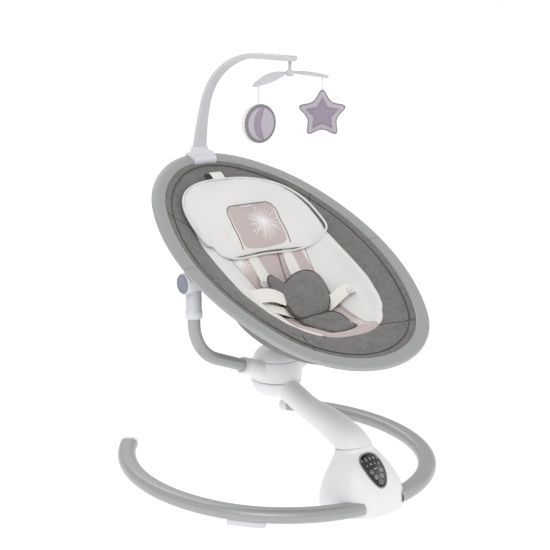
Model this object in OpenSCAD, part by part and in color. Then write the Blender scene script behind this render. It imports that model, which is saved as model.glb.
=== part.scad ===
// Baby swing: floor base with a motor pod and arm, a swinging carrier, a reclining ring seat
// and a turning toy mobile. Millimetres, Z up, the floor at z = 0, the foot end towards -Y.

/* [Floor base] */
// Width of the oval floor tube
tube_w = 37; // [30:1:42]
// Height of the oval floor tube
tube_h = 26; // [22:1:30]
// Wall of every steel tube
tube_wall = 1.5; // [1:0.1:2.5]
// Gap between the floor and the floor tube
tube_lift = 9; // [7:0.5:12]
// Distance from the hub axis forward to the floor tube's centre line
base_reach = 322; // [305:1:340]
// Bend radius of the front stretch of the floor tube
base_front_r = 293; // [280:1:305]
// Angle that the front stretch turns through
base_front_turn = 64; // [60:1:68]
// Bend radius of the rear stretch of the floor tube
base_rear_r = 363; // [345:1:380]
// Angle that the rear stretch turns through
base_rear_turn = 66; // [60:1:70]
// Length of the bulb on each end cap
cap_bulb = 20; // [14:1:26]
// Length of one rubber foot pad
pad_length = 70; // [50:1:90]
// Width of one rubber foot pad
pad_width = 22; // [16:1:28]

/* [Pod] */
// Width of the pod at the floor
pod_w = 154; // [146:1:162]
// Depth of the pod at the floor
pod_d = 146; // [140:1:152]
// Width of the pod's neck at the top seam
pod_neck = 72; // [66:1:76]
// Height of the top seam over the floor
pod_h = 112; // [106:1:118]
// Tilt of the top seam, high side forward
seam_tilt = 13.5; // [8:0.5:18]
// Wall of the plastic shells
shell_wall = 2.6; // [2:0.1:3.4]
// Distance from the floor tube's front centre line back to the pod's centre
pod_setback = 54; // [50:1:58]
// Height of the touch panel along the pod's front
panel_h = 66; // [58:1:70]
// Width of the touch panel at its wide end
panel_w = 56; // [50:1:60]
// Bore of the power inlet
inlet_bore = 6.3; // [5:0.1:7]

/* [Arm and hub] */
// Radius of the arm where it meets the hub
arm_r = 24; // [22:0.5:26]
// Diameter of the steel tube inside the arm
arm_tube_d = 25; // [20:1:28]
// Largest radius of the hub
hub_r = 54; // [50:0.5:58]
// Height of the hub's underside over the floor
hub_bottom = 153; // [149:1:157]
// Height of the static bowl
bowl_h = 35.5; // [33:0.5:38]
// Gap between the static bowl and the turning hub body
turn_gap = 1.5; // [1:0.1:3]
// Height of the turning hub body
hub_body_h = 42; // [40:1:46]
// Height of the dome lid
dome_h = 26; // [20:1:30]
// Diameter of the spindle where the bearings sit
spindle_d = 15; // [12:1:17]
// Outer diameter of the ball bearings
bearing_od = 35; // [32:1:37]
// Width of one ball bearing
bearing_w = 11; // [9:1:12]

/* [Carrier] */
// Diameter of the bracket tubes
bracket_d = 25; // [22:1:27]
// Angle by which the bracket tubes point forward of the sideways direction
bracket_lead = 7; // [4:0.5:10]
// Rise of the bracket tubes as they leave the hub
bracket_rise = 22; // [20:0.5:24]
// Bend radius of the bracket tubes
bracket_bend = 90; // [80:1:98]
// Distance from the hub axis to the upright stretch of a bracket tube
bracket_reach = 221.6; // [218:0.2:226]
// Height of the recline axis over the floor
pivot_z = 426.5; // [420:0.5:440]
// Radius of the pivot housings
housing_r = 20.4; // [19:0.2:20.6]
// Radius of the recline buttons
button_r = 18; // [15:0.5:18.4]
// Travel of a recline button
button_travel = 4; // [3:0.5:5]
// Diameter of the recline pins
pin_d = 12; // [10:1:14]

/* [Seat ring] */
// Half width of the ring, to the middle of its band
ring_half_w = 232.5; // [230:0.5:236]
// Width of the ring's band
band_w = 29; // [25:1:30]
// Thickness of the ring's band
band_t = 13; // [11:0.5:13.5]
// Angle that each side of the ring's foot arc turns through
foot_arc_turn = 61.9; // [58:0.1:64]
// Bend radius of the ring's sides
side_arc_r = 475.2; // [450:1:500]
// Angle that each side stretch turns through behind the seam
side_arc_turn = 24.1; // [22:0.1:26]
// Bend radius of the ring's shoulders
shoulder_arc_r = 284.1; // [270:1:300]
// Angle that each shoulder turns through
shoulder_arc_turn = 31.4; // [29:0.1:34]
// Rise of the ring's plane over the recline axis, square to the plane
ring_rise = 29.8; // [29.4:0.1:34]
// Distance from the recline axis to the ring's seam, along the ring
seam_ahead = 3; // [0:0.5:8]
// Angle of the seat at rest, head end up
seat_tilt = 27.8; // [22:0.1:32]

/* [Soft goods] */
// Thickness of the fabric bucket's wall
sling_t = 4; // [3:0.5:6]
// Drop of the collar from the ring to the liner
collar_drop = 20; // [16:1:24]
// Depth of the bucket below the collar
bucket_drop = 118; // [100:1:124]
// Depth of the liner's seat below its edge
liner_drop = 60; // [50:1:70]
// Half width of the head pillow
pillow_half_w = 156; // [145:1:160]
// Half length of the head pillow
pillow_half_l = 108; // [100:1:118]
// Thickness of the webbing
webbing_t = 3; // [2:0.5:4]
// Width of the shoulder and waist straps
strap_w = 32; // [24:1:38]

/* [Toy bar] */
// Width of the toy bar at its clamp
bar_base_w = 36; // [32:1:40]
// Width of the toy bar at its tip
bar_tip_w = 23; // [19:1:26]
// Thickness of the toy bar
bar_t = 11; // [9:0.5:13]
// Length of the clamp along the ring
clamp_l = 78; // [66:1:90]
// Diameter of the stem that carries the cross-bar
stem_d = 6; // [5:0.5:8]
// Reach of the cross-bar on its moon side
moon_reach = 90; // [84:1:96]
// Reach of the cross-bar on its star side
star_reach = 98; // [92:1:104]
// Diameter of a toy string
string_d = 2.4; // [2:0.2:3]
// Diameter of the moon toy
moon_d = 70; // [60:1:76]
// Radius of the star toy's points
star_r = 46; // [40:1:48]
// Thickness of the toys
toy_t = 20; // [16:1:24]

/* [Hidden] */

fit_gap = 0.3;          // clearance between parts that are put together
run_gap = 0.05;         // radial running clearance of a pin or shaft
seam_gap = 0.8;         // shadow gap between shells
hairline = 0.02;        // between the stretches of a bent tube, each a clean solid
hub_y = 30;             // places the hub axis so that the whole swing is centred on the origin
tube_z = tube_lift + tube_h / 2;
round_fn = 64;

// ---- paths of straight stretches [0, length] and left-hand bends [radius, angle] ----
function step_end(step) = step[0] == 0 ? [step[1], 0]
    : [step[0] * sin(step[1]), step[0] * (1 - cos(step[1]))];
function step_turn(step) = step[0] == 0 ? 0 : step[1];
function turned(p, a) = [p[0] * cos(a) - p[1] * sin(a), p[0] * sin(a) + p[1] * cos(a)];
function path_heading(steps, h = 0, i = 0) = i >= len(steps) ? h
    : path_heading(steps, h + step_turn(steps[i]), i + 1);
function path_end(steps, p = [0, 0], h = 0, i = 0) = i >= len(steps) ? p
    : path_end(steps, p + turned(step_end(steps[i]), h), h + step_turn(steps[i]), i + 1);
function path_length(steps, i = 0) = i >= len(steps) ? 0
    : (steps[i][0] == 0 ? steps[i][1] : steps[i][0] * steps[i][1] * PI / 180)
        + path_length(steps, i + 1);
// [x, y, heading, distance] about every pitch along the path
function path_points(steps, pitch, p = [0, 0], h = 0, s = 0, i = 0) = i >= len(steps) ? []
    : let (step = steps[i], turn = step_turn(step), length = path_length([step]),
        count = max(2, round(length / pitch)), last = i == len(steps) - 1 ? count : count - 1)
    concat([for (k = [0:last])
            let (f = k / count,
                q = p + turned(step[0] == 0 ? [f * length, 0] : step_end([step[0], f * turn]), h))
            [q[0], q[1], h + f * turn, s + f * length]],
        path_points(steps, pitch, p + turned(step_end(step), h), h + turn, s + length, i + 1));

module along_path(steps, i = 0) {
    if (i < len(steps)) {
        step = steps[i];
        if (step[0] == 0)
            rotate([90, 0, 90]) linear_extrude(height = step[1]) mirror([1, 0]) children();
        else
            translate([0, step[0], 0]) rotate([0, 0, -90])
                rotate_extrude(angle = step[1], $fn = 180) translate([step[0], 0]) children();
        end = step_end(step);
        translate([end[0], end[1], 0]) rotate([0, 0, step_turn(step)])
            translate([hairline, 0, 0]) along_path(steps, i + 1) children();
    }
}

// ---- lofts ----
// A closed solid through rings that have the same number of points. In a folded section the
// first half of a ring lies over its second half, and strips between the two close the ends.
module skin(rings, folded = false) {
    n = len(rings[0]);
    m = len(rings);
    ends = folded ? [for (i = [0:n / 2 - 2]) [i, i + 1, n - 2 - i, n - 1 - i]] : [[for (i = [0:n - 1]) i]];
    polyhedron(
        points = [for (ring = rings) for (p = ring) p],
        faces = concat(
            ends,
            [for (j = [0:m - 2]) for (i = [0:n - 1])
                let (a = j * n + i, b = j * n + (i + 1) % n)
                each [[a, b + n, b], [a, a + n, b + n]]],
            [for (f = ends) [for (k = [len(f) - 1:-1:0]) (m - 1) * n + f[k]]]));
}
// A superellipse with half sizes a and b; power 2 is an ellipse, more is squarer
function rounded_outline(a, b, power, count) = [for (i = [0:count - 1])
    let (t = 360 * i / count, c = cos(t), s = sin(t))
    [a * sign(c) * pow(abs(c), 2 / power), b * sign(s) * pow(abs(s), 2 / power)]];
// A bar of cross-section w x t that follows a path in the YZ plane
function bar_rings(stations, width, thickness, power, count) = [for (p = stations)
    [for (q = rounded_outline(width(p[3]) / 2, thickness(p[3]) / 2, power, count))
        [-q[0], p[0] - q[1] * sin(p[2]), p[1] + q[1] * cos(p[2])]]];

// A cushion between two surfaces: rings of shrinking outlines with a middle point
module cushion(outline, middle, shares, top, bottom) {
    n = len(outline);
    m = len(shares);
    flat = concat([for (f = shares) for (p = outline) middle + f * (p - middle)], [middle]);
    hub = n * m;
    function tile(j, i, up) = let (a = j * n + i, b = j * n + (i + 1) % n)
        up ? [[a, a + n, b + n], [a, b + n, b]] : [[a, b + n, a + n], [a, b, b + n]];
    polyhedron(
        points = concat([for (p = flat) [p[0], p[1], top(p[0], p[1])]],
            [for (p = flat) [p[0], p[1], bottom(p[0], p[1])]]),
        faces = concat(
            [for (j = [0:m - 2]) for (i = [0:n - 1]) each tile(j, i, true)],
            [for (i = [0:n - 1]) [(m - 1) * n + (i + 1) % n, (m - 1) * n + i, hub]],
            [for (j = [0:m - 2]) for (i = [0:n - 1]) each
                [for (f = tile(j, i, false)) [for (k = f) k + hub + 1]]],
            [for (i = [0:n - 1])
                [(m - 1) * n + i + hub + 1, (m - 1) * n + (i + 1) % n + hub + 1, 2 * hub + 1]],
            [for (i = [0:n - 1]) let (a = i, b = (i + 1) % n)
                each [[a, b, b + hub + 1], [a, b + hub + 1, a + hub + 1]]]));
}

module at_hub() { translate([0, hub_y, 0]) children(); }
module both_sides() {
    children();
    mirror([1, 0, 0]) children();
}
module on_side(side) {
    if (side > 0) children();
    else mirror([1, 0, 0]) children();
}

// ---- profiles ----
module oval(w, h) {
    square([w - h, h], center = true);
    for (s = [-1, 1]) translate([s * (w - h) / 2, 0]) circle(d = h, $fn = 48);
}
module tube_profile() {
    difference() {
        oval(tube_w, tube_h);
        oval(tube_w - 2 * tube_wall, tube_h - 2 * tube_wall);
    }
}
module round_tube_profile(d) {
    difference() {
        circle(d = d, $fn = 48);
        circle(d = d - 2 * tube_wall, $fn = 48);
    }
}

// ==== floor base ====
base_start = 9;         // angle on the front bend at which each tube begins, inside the pod
base_steps = [[base_front_r, base_front_turn - base_start], [base_rear_r, base_rear_turn]];
module base_path() {
    at_hub() translate([base_front_r * sin(base_start),
            base_front_r * (1 - cos(base_start)) - base_reach, tube_z])
        rotate([0, 0, base_start]) children();
}
base_tail = path_end(base_steps);
base_tail_heading = path_heading(base_steps);
module at_base_tail() {
    base_path() translate([base_tail[0], base_tail[1], 0])
        rotate([0, 0, base_tail_heading]) children();
}
module base_tube(side) {
    color([0.65, 0.66, 0.65]) on_side(side) base_path() along_path(base_steps) tube_profile();
}
module base_tube_left() { base_tube(-1); }
module base_tube_right() { base_tube(1); }

cap_plug = 12;          // length of the end cap's plug inside the tube
cap_lip = 1.5;          // how far the bulb stands out round the tube
module end_cap(side) {
    color([0.93, 0.93, 0.94]) on_side(side) at_base_tail() {
        rotate([90, 0, 90]) translate([0, 0, -cap_plug]) linear_extrude(height = cap_plug)
            oval(tube_w - 2 * tube_wall - 2 * fit_gap, tube_h - 2 * tube_wall - 2 * fit_gap);
        cap_rings = [for (f = [0, 0.12, 0.4, 0.62, 0.8, 0.92, 0.98])
            let (swell = f < 0.4 ? cap_lip * sqrt(f / 0.4) : cap_lip, g = f < 0.4 ? 0 : (f - 0.4) / 0.6,
                shrink = sqrt(1 - g * g))
            [for (p = rounded_outline((tube_w / 2 + swell) * shrink, (tube_h / 2 + swell) * shrink,
                2.4, 28))
                [f * cap_bulb, p[0], p[1]]]];
        skin(cap_rings);
    }
}
module end_cap_left() { end_cap(-1); }
module end_cap_right() { end_cap(1); }

pad_headings = [52, 118];   // where along the tube each pad sits, as its heading
foot_h = 4;                 // height of the small feet under the pod
module tube_pad(radius, start) {
    angle = pad_length / radius * 180 / PI;
    translate([0, radius, 0]) rotate([0, 0, start - 90 - angle / 2])
        rotate_extrude(angle = angle, $fn = 180) translate([radius, 0]) difference() {
            translate([-pad_width / 2, -tube_z]) square([pad_width, tube_z]);
            oval(tube_w + fit_gap, tube_h + fit_gap);
        }
}
pod_y = pod_setback - base_reach;
pod_foot_spots = [[0, -46], [-44, 34], [44, 34]];
module foot_pads() {
    color([0.30, 0.30, 0.31]) at_hub() {
        both_sides() translate([0, -base_reach, tube_z]) {
            tube_pad(base_front_r, pad_headings[0]);
            join = step_end([base_front_r, base_front_turn]);
            translate([join[0], join[1], 0]) rotate([0, 0, base_front_turn])
                tube_pad(base_rear_r, pad_headings[1] - base_front_turn);
        }
        for (p = pod_foot_spots) translate([p[0], pod_y + p[1], 0])
            cylinder(d = 18, h = foot_h, $fn = round_fn);
    }
}

// ==== pod ====
pod_base_z = 3;             // height of the pod's lower edge
neck_y = pod_y + 23;        // centre of the neck at the seam
// [height share, width share, squareness]: how the pod narrows from the floor to the seam
pod_shape = [[0, 1, 2.6], [0.1, 1, 2.6], [0.25, 0.965, 2.6], [0.4, 0.885, 2.5], [0.5, 0.79, 2.4],
    [0.6, 0.67, 2.3], [0.7, 0.53, 2.2], [0.78, 0.40, 2.1], [0.88, 0.22, 2], [1, 0, 2], [1.18, -0.10, 2]];
pod_rings_n = 48;
function pod_rings(inset) = [for (s = pod_shape)
    let (f = s[1], a = pod_neck / 2 + f * (pod_w - pod_neck) / 2 - inset,
        b = pod_neck / 2 + f * (pod_d - pod_neck) / 2 - inset,
        y = neck_y + (pod_y - neck_y) * max(0, 1 - pow(1 - f, 2)))
    [for (p = rounded_outline(a, b, s[2], pod_rings_n))
        [p[0], y + p[1], pod_base_z + s[0] * (pod_h - pod_base_z)]]];
module at_seam() { translate([0, neck_y, pod_h]) rotate([-seam_tilt, 0, 0]) children(); }
cut_size = 400;
module above_seam(gap) {
    at_seam() translate([-cut_size / 2, -cut_size / 2, gap]) cube(cut_size);
}
// where the touch panel sits on the pod's sloping front
panel_lean = 30;
panel_mid_z = 79;
panel_out = 67;             // distance from the pod's centre line forward to the panel's middle
panel_t = 3;
module at_panel() {
    translate([0, pod_y - panel_out + 12, panel_mid_z]) rotate([90 - panel_lean, 0, 0]) children();
}
panel_low_w = 0.62;         // width of the lower end as a share of the upper end
module panel_outline(grow) {
    wide = panel_w / 2 + grow;
    low = wide * panel_low_w;
    polygon([for (i = [0:47])
        let (t = 360 * i / 48, c = cos(t), s = sin(t), waist = low + (wide - low) * (1 + s) / 2)
        [waist * sign(c) * pow(abs(c), 0.8), (panel_h / 2 + grow) * sign(s) * pow(abs(s), 0.9)]]);
}
bezel_w = 2.4;              // width of the bezel round the panel
bezel_depth = 16;
module tube_slots() {
    both_sides() translate([0, -base_reach, tube_z])
        along_path([[base_front_r, base_front_turn / 2]])
            oval(tube_w + 2 * fit_gap, tube_h + 2 * fit_gap);
}
inlet_x = 20;
inlet_z = 20;
inlet_body = [11, 16, 11];
module at_inlet() {
    translate([inlet_x, pod_y + pod_d / 2 - 6, inlet_z]) children();
}
module pod_shell() {
    color([0.93, 0.93, 0.94]) at_hub() difference() {
        skin(pod_rings(0));
        skin([for (r = pod_rings(shell_wall)) [for (p = r) p - [0, 0, shell_wall]]]);
        above_seam(-seam_gap / 2);
        tube_slots();
        at_panel() translate([0, 0, -bezel_depth]) linear_extrude(height = 40)
            panel_outline(bezel_w + fit_gap);
        at_inlet() rotate([-90, 0, 0])
            cylinder(d = inlet_body[0] + fit_gap, h = 30, center = true, $fn = round_fn);
    }
}
cover_t = 2.5;
screw_d = 3.5;
screw_spots = [[0, -30], [-34, 22], [34, 22]];
module pod_bottom_cover() {
    color([0.86, 0.86, 0.87]) at_hub() difference() {
        translate([0, pod_y, pod_base_z + 1]) linear_extrude(height = cover_t)
            polygon(rounded_outline(pod_w / 2 - shell_wall - fit_gap, pod_d / 2 - shell_wall - fit_gap,
                pod_shape[0][2], pod_rings_n));
        for (p = screw_spots) translate([p[0], pod_y + p[1], 0])
            cylinder(d = screw_d + fit_gap, h = 20, $fn = round_fn);
    }
}
module pod_screws() {
    color([0.45, 0.45, 0.47]) at_hub() for (p = screw_spots) translate([p[0], pod_y + p[1], pod_base_z]) {
        cylinder(d = 2 * screw_d, h = 1, $fn = round_fn);
        cylinder(d = screw_d, h = 1 + cover_t + fit_gap, $fn = round_fn);
    }
}
module panel_bezel() {
    color([0.55, 0.55, 0.57]) at_hub() intersection() {
        at_panel() difference() {
            translate([0, 0, -bezel_depth]) linear_extrude(height = bezel_depth + 20) panel_outline(bezel_w);
            translate([0, 0, -bezel_depth - 1]) linear_extrude(height = bezel_depth + 30) panel_outline(0);
        }
        skin(pod_rings(-0.6));
        above_panel_back();
    }
}
module above_panel_back() {
    at_panel() translate([-50, -60, -bezel_depth]) cube([100, 120, 60]);
}
module touch_panel() {
    color([0.05, 0.05, 0.06]) at_hub() difference() {
        intersection() {
            at_panel() translate([0, 0, -bezel_depth]) linear_extrude(height = bezel_depth + 20)
                panel_outline(-fit_gap);
            skin(pod_rings(-0.3));
        }
        skin(pod_rings(panel_t));
    }
}
board = [46, 60, 1.6];
board_back = 30;
module main_board() {
    color([0.16, 0.40, 0.24]) at_hub() at_panel() translate([0, 0, -board_back]) {
        translate([-board[0] / 2, -board[1] / 2, 0]) cube(board);
        for (x = [-12, 12]) translate([x - 5, -4, board[2]]) cube([10, 10, 2.5]);
    }
}
speaker_d = 40;
module speaker() {
    color([0.2, 0.2, 0.22]) at_hub() translate([0, pod_y + 6, pod_base_z + 1 + cover_t]) {
        cylinder(d = speaker_d, h = 4, $fn = round_fn);
        translate([0, 0, 4]) cylinder(d1 = speaker_d - 4, d2 = 18, h = 8, $fn = round_fn);
        translate([0, 0, 12]) cylinder(d = 18, h = 6, $fn = round_fn);
    }
}
module power_inlet() {
    color([0.12, 0.12, 0.13]) at_hub() at_inlet() rotate([90, 0, 0]) difference() {
        cylinder(d = inlet_body[0], h = inlet_body[1], $fn = round_fn);
        translate([0, 0, -1]) cylinder(d = inlet_bore, h = inlet_body[1] - 2, $fn = round_fn);
    }
}
// a steel saddle that joins both floor tubes and carries the arm tube
bracket_t = 3;
saddle = [80, 100];
arm_foot = [0, neck_y - 4, tube_z + tube_h / 2 + bracket_t];
module pod_bracket() {
    color([0.5, 0.51, 0.53]) at_hub() difference() {
        union() {
            translate([-saddle[0] / 2, -base_reach, tube_z + tube_h / 2 + fit_gap])
                cube([saddle[0], saddle[1], bracket_t - fit_gap]);
            translate([0, arm_foot[1], arm_foot[2]]) rotate([-arm_lean, 0, 0])
                cylinder(d = arm_tube_d + 2 * bracket_t + 2 * fit_gap, h = 26, $fn = round_fn);
        }
        translate([0, arm_foot[1], arm_foot[2]]) rotate([-arm_lean, 0, 0])
            cylinder(d = arm_tube_d + fit_gap, h = 60, $fn = round_fn);
    }
}

// ==== arm ====
// [share of the way to the hub, share of the rise, radius beyond arm_r as a share, tilt of the ring]
arm_shape = [[0, 0, 1, 0], [0.079, 0.175, 0.76, 25], [0.202, 0.317, 0.56, 47], [0.345, 0.444, 0.40, 57],
    [0.512, 0.556, 0.16, 62], [0.680, 0.651, 0.02, 64], [0.852, 0.841, 0, 62], [1, 1, 0, 60]];
arm_tip_y = -42;
arm_lean = 4;               // lean of the arm tube's foot towards the hub
arm_climb = 11;             // climb of the arm tube's upper stretch
bowl_top = hub_bottom + bowl_h;
bowl_ball_z = bowl_top + 8.8;
bowl_ball_r = hub_r + 0.4;  // a ball that just wraps the side of the bowl
arm_tip_z = hub_bottom + 20;
// rows of numbers joined by a smooth curve
function eased(rows, per) = let (last = len(rows) - 1) concat(
    [for (i = [0:last - 1]) for (k = [0:per - 1])
        let (t = k / per, a = rows[max(i - 1, 0)], b = rows[i], c = rows[i + 1], d = rows[min(i + 2, last)])
        0.5 * (2 * b + (c - a) * t + (2 * a - 5 * b + 4 * c - d) * t * t
            + (3 * b - a - 3 * c + d) * t * t * t)],
    [rows[last]]);
arm_rows = eased(arm_shape, 3);
arm_last = len(arm_rows) - 4;   // the ring from which the cover runs straight into the bowl
function arm_point(s, inset, t) =
    let (y = neck_y + s[0] * (arm_tip_y - neck_y), z = pod_h + s[1] * (arm_tip_z - pod_h),
        r = arm_r + s[2] * (pod_neck / 2 - arm_r) - inset, tilt = seam_tilt + s[3])
    [r * cos(t), y + r * sin(t) * cos(tilt), z - r * sin(t) * sin(tilt)];
// where a line meets the ball that wraps the bowl's side
function on_bowl(p, d) = let (q = p - [0, 0, bowl_ball_z], b = q * d, c = q * q - pow(bowl_ball_r, 2))
    p + (-b - sqrt(b * b - c)) * d;
arm_way = [0, cos(arm_climb), sin(arm_climb)];
arm_sides = 13;
function arm_half(s, last) = let (ends = [for (i = [0:arm_sides - 1]) -90 + 180 * i / (arm_sides - 1)])
    concat([for (t = ends) let (p = arm_point(s, 0, t)) last ? on_bowl(p, arm_way) : p],
        [for (i = [arm_sides - 1:-1:0]) let (p = arm_point(s, shell_wall, ends[i]))
            last ? on_bowl(p, arm_way) : p]);
// A long shell of C-shaped rings: the first half of each ring is its outside, the rest its inside
module shell_skin(rings) {
    n = len(rings[0]);
    m = len(rings);
    half = n / 2;
    polyhedron(
        points = [for (ring = rings) for (p = ring) p],
        faces = concat(
            [for (j = [0:m - 2]) for (i = [0:n - 1])
                let (a = j * n + i, b = j * n + (i + 1) % n)
                each [[a, b + n, b], [a, a + n, b + n]]],
            [for (i = [0:half - 2]) let (c = n - 1 - i) each [[i, i + 1, c - 1], [i, c - 1, c]]],
            [for (i = [0:half - 2]) let (o = (m - 1) * n, c = n - 1 - i)
                each [[o + i, o + c - 1, o + i + 1], [o + i, o + c, o + c - 1]]]));
}
module arm_cover(side) {
    color([0.93, 0.93, 0.94]) on_side(side) at_hub() translate([fit_gap / 2, 0, 0])
        shell_skin(concat([for (i = [0:arm_last]) arm_half(arm_rows[i], false)],
            [arm_half(arm_rows[arm_last], true)]));
}
module arm_cover_left() { arm_cover(-1); }
module arm_cover_right() { arm_cover(1); }

arm_bend = 60;              // bend radius of the steel arm tube
arm_end = [-14, hub_bottom + shell_wall + 0.9 + arm_tube_d / 2 * 1.02];
arm_turn = 90 - arm_lean - arm_climb;
// the two straight stretches that bring the bend from the saddle to the hub
arm_span = arm_end - [arm_foot[1], arm_foot[2]]
    - arm_bend * [cos(arm_lean) - sin(arm_climb), cos(arm_climb) - sin(arm_lean)];
arm_det = sin(arm_lean) * sin(arm_climb) - cos(arm_climb) * cos(arm_lean);
arm_steps = [[0, (arm_span[0] * sin(arm_climb) - cos(arm_climb) * arm_span[1]) / arm_det],
    [arm_bend, arm_turn],
    [0, (sin(arm_lean) * arm_span[1] - cos(arm_lean) * arm_span[0]) / arm_det]];
module at_arm_foot() {
    at_hub() translate(arm_foot) rotate([90, 0, 90]) rotate([0, 0, 90 - arm_lean])
        mirror([0, 1, 0]) children();
}
module arm_tube() {
    color([0.6, 0.61, 0.62]) at_arm_foot() along_path(arm_steps) round_tube_profile(arm_tube_d);
}
module arm_tube_bore(length, gap) {
    translate([0, arm_end[0], arm_end[1]]) rotate([90 + arm_climb, 0, 0])
        translate([0, 0, -gap]) cylinder(d = arm_tube_d + gap, h = length, $fn = round_fn);
}

// ==== hub ====
hub_crown = 80;             // radius of the hub body's barrel curve
body_bottom = bowl_top + turn_gap;
body_top = body_bottom + hub_body_h;
crown_z = body_bottom + 15;
floor_t = 3;                // floor of the hub body
function barrel_r(z) = hub_r - hub_crown + sqrt(hub_crown * hub_crown - (z - crown_z) * (z - crown_z));
bowl_rim = barrel_r(bowl_top);
module bowl_solid(inset) {
    rotate_extrude($fn = 96) intersection() {
        union() {
            translate([bowl_rim - bowl_h, bowl_top]) circle(r = bowl_h - inset, $fn = 96);
            translate([0, hub_bottom + inset]) square([bowl_rim - bowl_h, bowl_h]);
        }
        square([2 * hub_r, bowl_top + max(inset, 0)]);
    }
}
bowl_wall = 3;
// height of the bowl's inner floor at a distance from the axis
function bowl_floor(r) = let (inner = bowl_h - bowl_wall, x = max(0, r - bowl_rim + bowl_h))
    bowl_top - sqrt(inner * inner - x * x);
module hub_bowl() {
    color([0.93, 0.93, 0.94]) at_hub() difference() {
        bowl_solid(0);
        bowl_solid(bowl_wall);
        arm_tube_bore(60, fit_gap);
    }
}
spindle_foot_r = 24;
spindle_shoulder_r = 10;
bearing_step = 11;          // distance between the two bearings
lower_bearing_z = body_bottom + 1;
upper_bearing_z = lower_bearing_z + bearing_w + bearing_step;
nut_h = 6;
nut_size = 19;              // across flats
thread_d = 12;
shaft_top = upper_bearing_z + bearing_w;
foot_z = bowl_floor(spindle_foot_r) + 0.1;
spindle_top = bowl_top - 4;     // top of the spindle's foot
module spindle() {
    color([0.55, 0.56, 0.58]) at_hub() difference() {
        union() {
            translate([0, 0, foot_z])
                cylinder(r = spindle_foot_r, h = spindle_top - foot_z, $fn = round_fn);
            translate([0, 0, spindle_top - 1])
                cylinder(r = spindle_shoulder_r, h = lower_bearing_z - 0.1 - spindle_top + 1,
                    $fn = round_fn);
            translate([0, 0, hub_bottom + 20])
                cylinder(d = spindle_d, h = shaft_top - hub_bottom - 20, $fn = round_fn);
            translate([0, 0, shaft_top - 1]) cylinder(d = thread_d, h = nut_h + 2, $fn = round_fn);
        }
        arm_tube_bore(60, fit_gap);
    }
}
module spindle_nut() {
    color([0.7, 0.7, 0.72]) at_hub() translate([0, 0, shaft_top + 0.1]) difference() {
        cylinder(d = nut_size / cos(30), h = nut_h, $fn = 6);
        translate([0, 0, -1]) cylinder(d = thread_d + 2 * run_gap, h = nut_h + 2, $fn = round_fn);
    }
}
module ball_bearing(z) {
    color([0.75, 0.76, 0.78]) at_hub() translate([0, 0, z]) difference() {
        cylinder(d = bearing_od, h = bearing_w, $fn = round_fn);
        translate([0, 0, -1]) cylinder(d = spindle_d + 2 * run_gap, h = bearing_w + 2, $fn = round_fn);
        for (h = [-1, bearing_w - 1]) translate([0, 0, h]) difference() {
            cylinder(d = bearing_od - 6, h = 2, $fn = round_fn);
            translate([0, 0, -1]) cylinder(d = spindle_d + 6, h = 4, $fn = round_fn);
        }
    }
}
module bearing_lower() { ball_bearing(lower_bearing_z); }
module bearing_upper() { ball_bearing(upper_bearing_z); }
coil_spot = 35;             // distance of the drive coil from the hub axis
coil_d = 18;
coil_h = 12;
coil_top = bowl_top - 3.5;
post_d = 6;
module drive_coil() {
    color([0.72, 0.40, 0.22]) at_hub() translate([0, coil_spot, 0]) {
        translate([0, 0, coil_top - coil_h]) cylinder(d = coil_d, h = coil_h, $fn = round_fn);
        post_z = bowl_floor(coil_spot + post_d / 2) + fit_gap;
        translate([0, 0, post_z]) cylinder(d = post_d, h = coil_top + 0.6 - post_z, $fn = round_fn);
    }
}
magnet = [14, 12, 2.4];
magnet_angles = [76, 104];
module drive_magnets() {
    color([0.4, 0.4, 0.43]) at_hub() for (a = magnet_angles) rotate([0, 0, a])
        translate([coil_spot - magnet[1] / 2, -magnet[0] / 2, body_bottom - magnet[2]])
            cube([magnet[1], magnet[0], magnet[2]]);
}
housing_tube_r = bearing_od / 2 + 3.5;
module barrel_region(inset) {
    translate([hub_r - hub_crown, crown_z]) circle(r = hub_crown - inset, $fn = 180);
}
module hub_cavity_profile() {
    intersection() {
        barrel_region(bowl_wall);
        union() {
            translate([housing_tube_r, body_bottom + floor_t]) square([hub_r, hub_body_h]);
            translate([0, shaft_top + 1]) square([hub_r, hub_body_h]);
        }
    }
}
boss_root = 44;             // distances from the hub axis, along the bracket tubes
boss_end = 92;
boss_root_r = 20;
boss_end_r = 17;
collar_t = 5;
tube_in = 55;               // where the bracket tube's inner end sits
boss_axis_z = body_bottom + 7;
module at_boss(reach) {
    at_hub() translate([0, 0, boss_axis_z]) rotate([0, 0, -bracket_lead]) rotate([0, -bracket_rise, 0])
        translate([reach / cos(bracket_rise), 0, 0]) rotate([0, 90, 0]) children();
}
module hub_body() {
    color([0.93, 0.93, 0.94]) difference() {
        union() {
            at_hub() rotate_extrude($fn = 96) difference() {
                intersection() {
                    barrel_region(0);
                    translate([0, body_bottom]) square([hub_r, hub_body_h]);
                }
                hub_cavity_profile();
                square([bearing_od / 2 - 2, 3 * body_top]);
                for (z = [body_bottom - 1, upper_bearing_z])
                    translate([0, z])
                        square([bearing_od / 2 + run_gap, bearing_w + 2 + (z > body_top - 30 ? 20 : 0)]);
            }
            both_sides() difference() {
                at_boss(boss_root) cylinder(r1 = boss_root_r, r2 = boss_end_r,
                    h = (boss_end - boss_root) / cos(bracket_rise), $fn = round_fn);
                at_hub() rotate_extrude($fn = 96) hub_cavity_profile();
                at_hub() translate([0, 0, body_top])
                    cylinder(r = barrel_r(body_top) + 1, h = 40, $fn = round_fn);
                at_hub() cylinder(r = hub_r - 2, h = body_bottom + 0.01, $fn = round_fn);
            }
        }
        both_sides() at_boss(tube_in - 1) cylinder(d = bracket_d + fit_gap, h = 80, $fn = round_fn);
    }
}
dome_round = 36;
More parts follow.
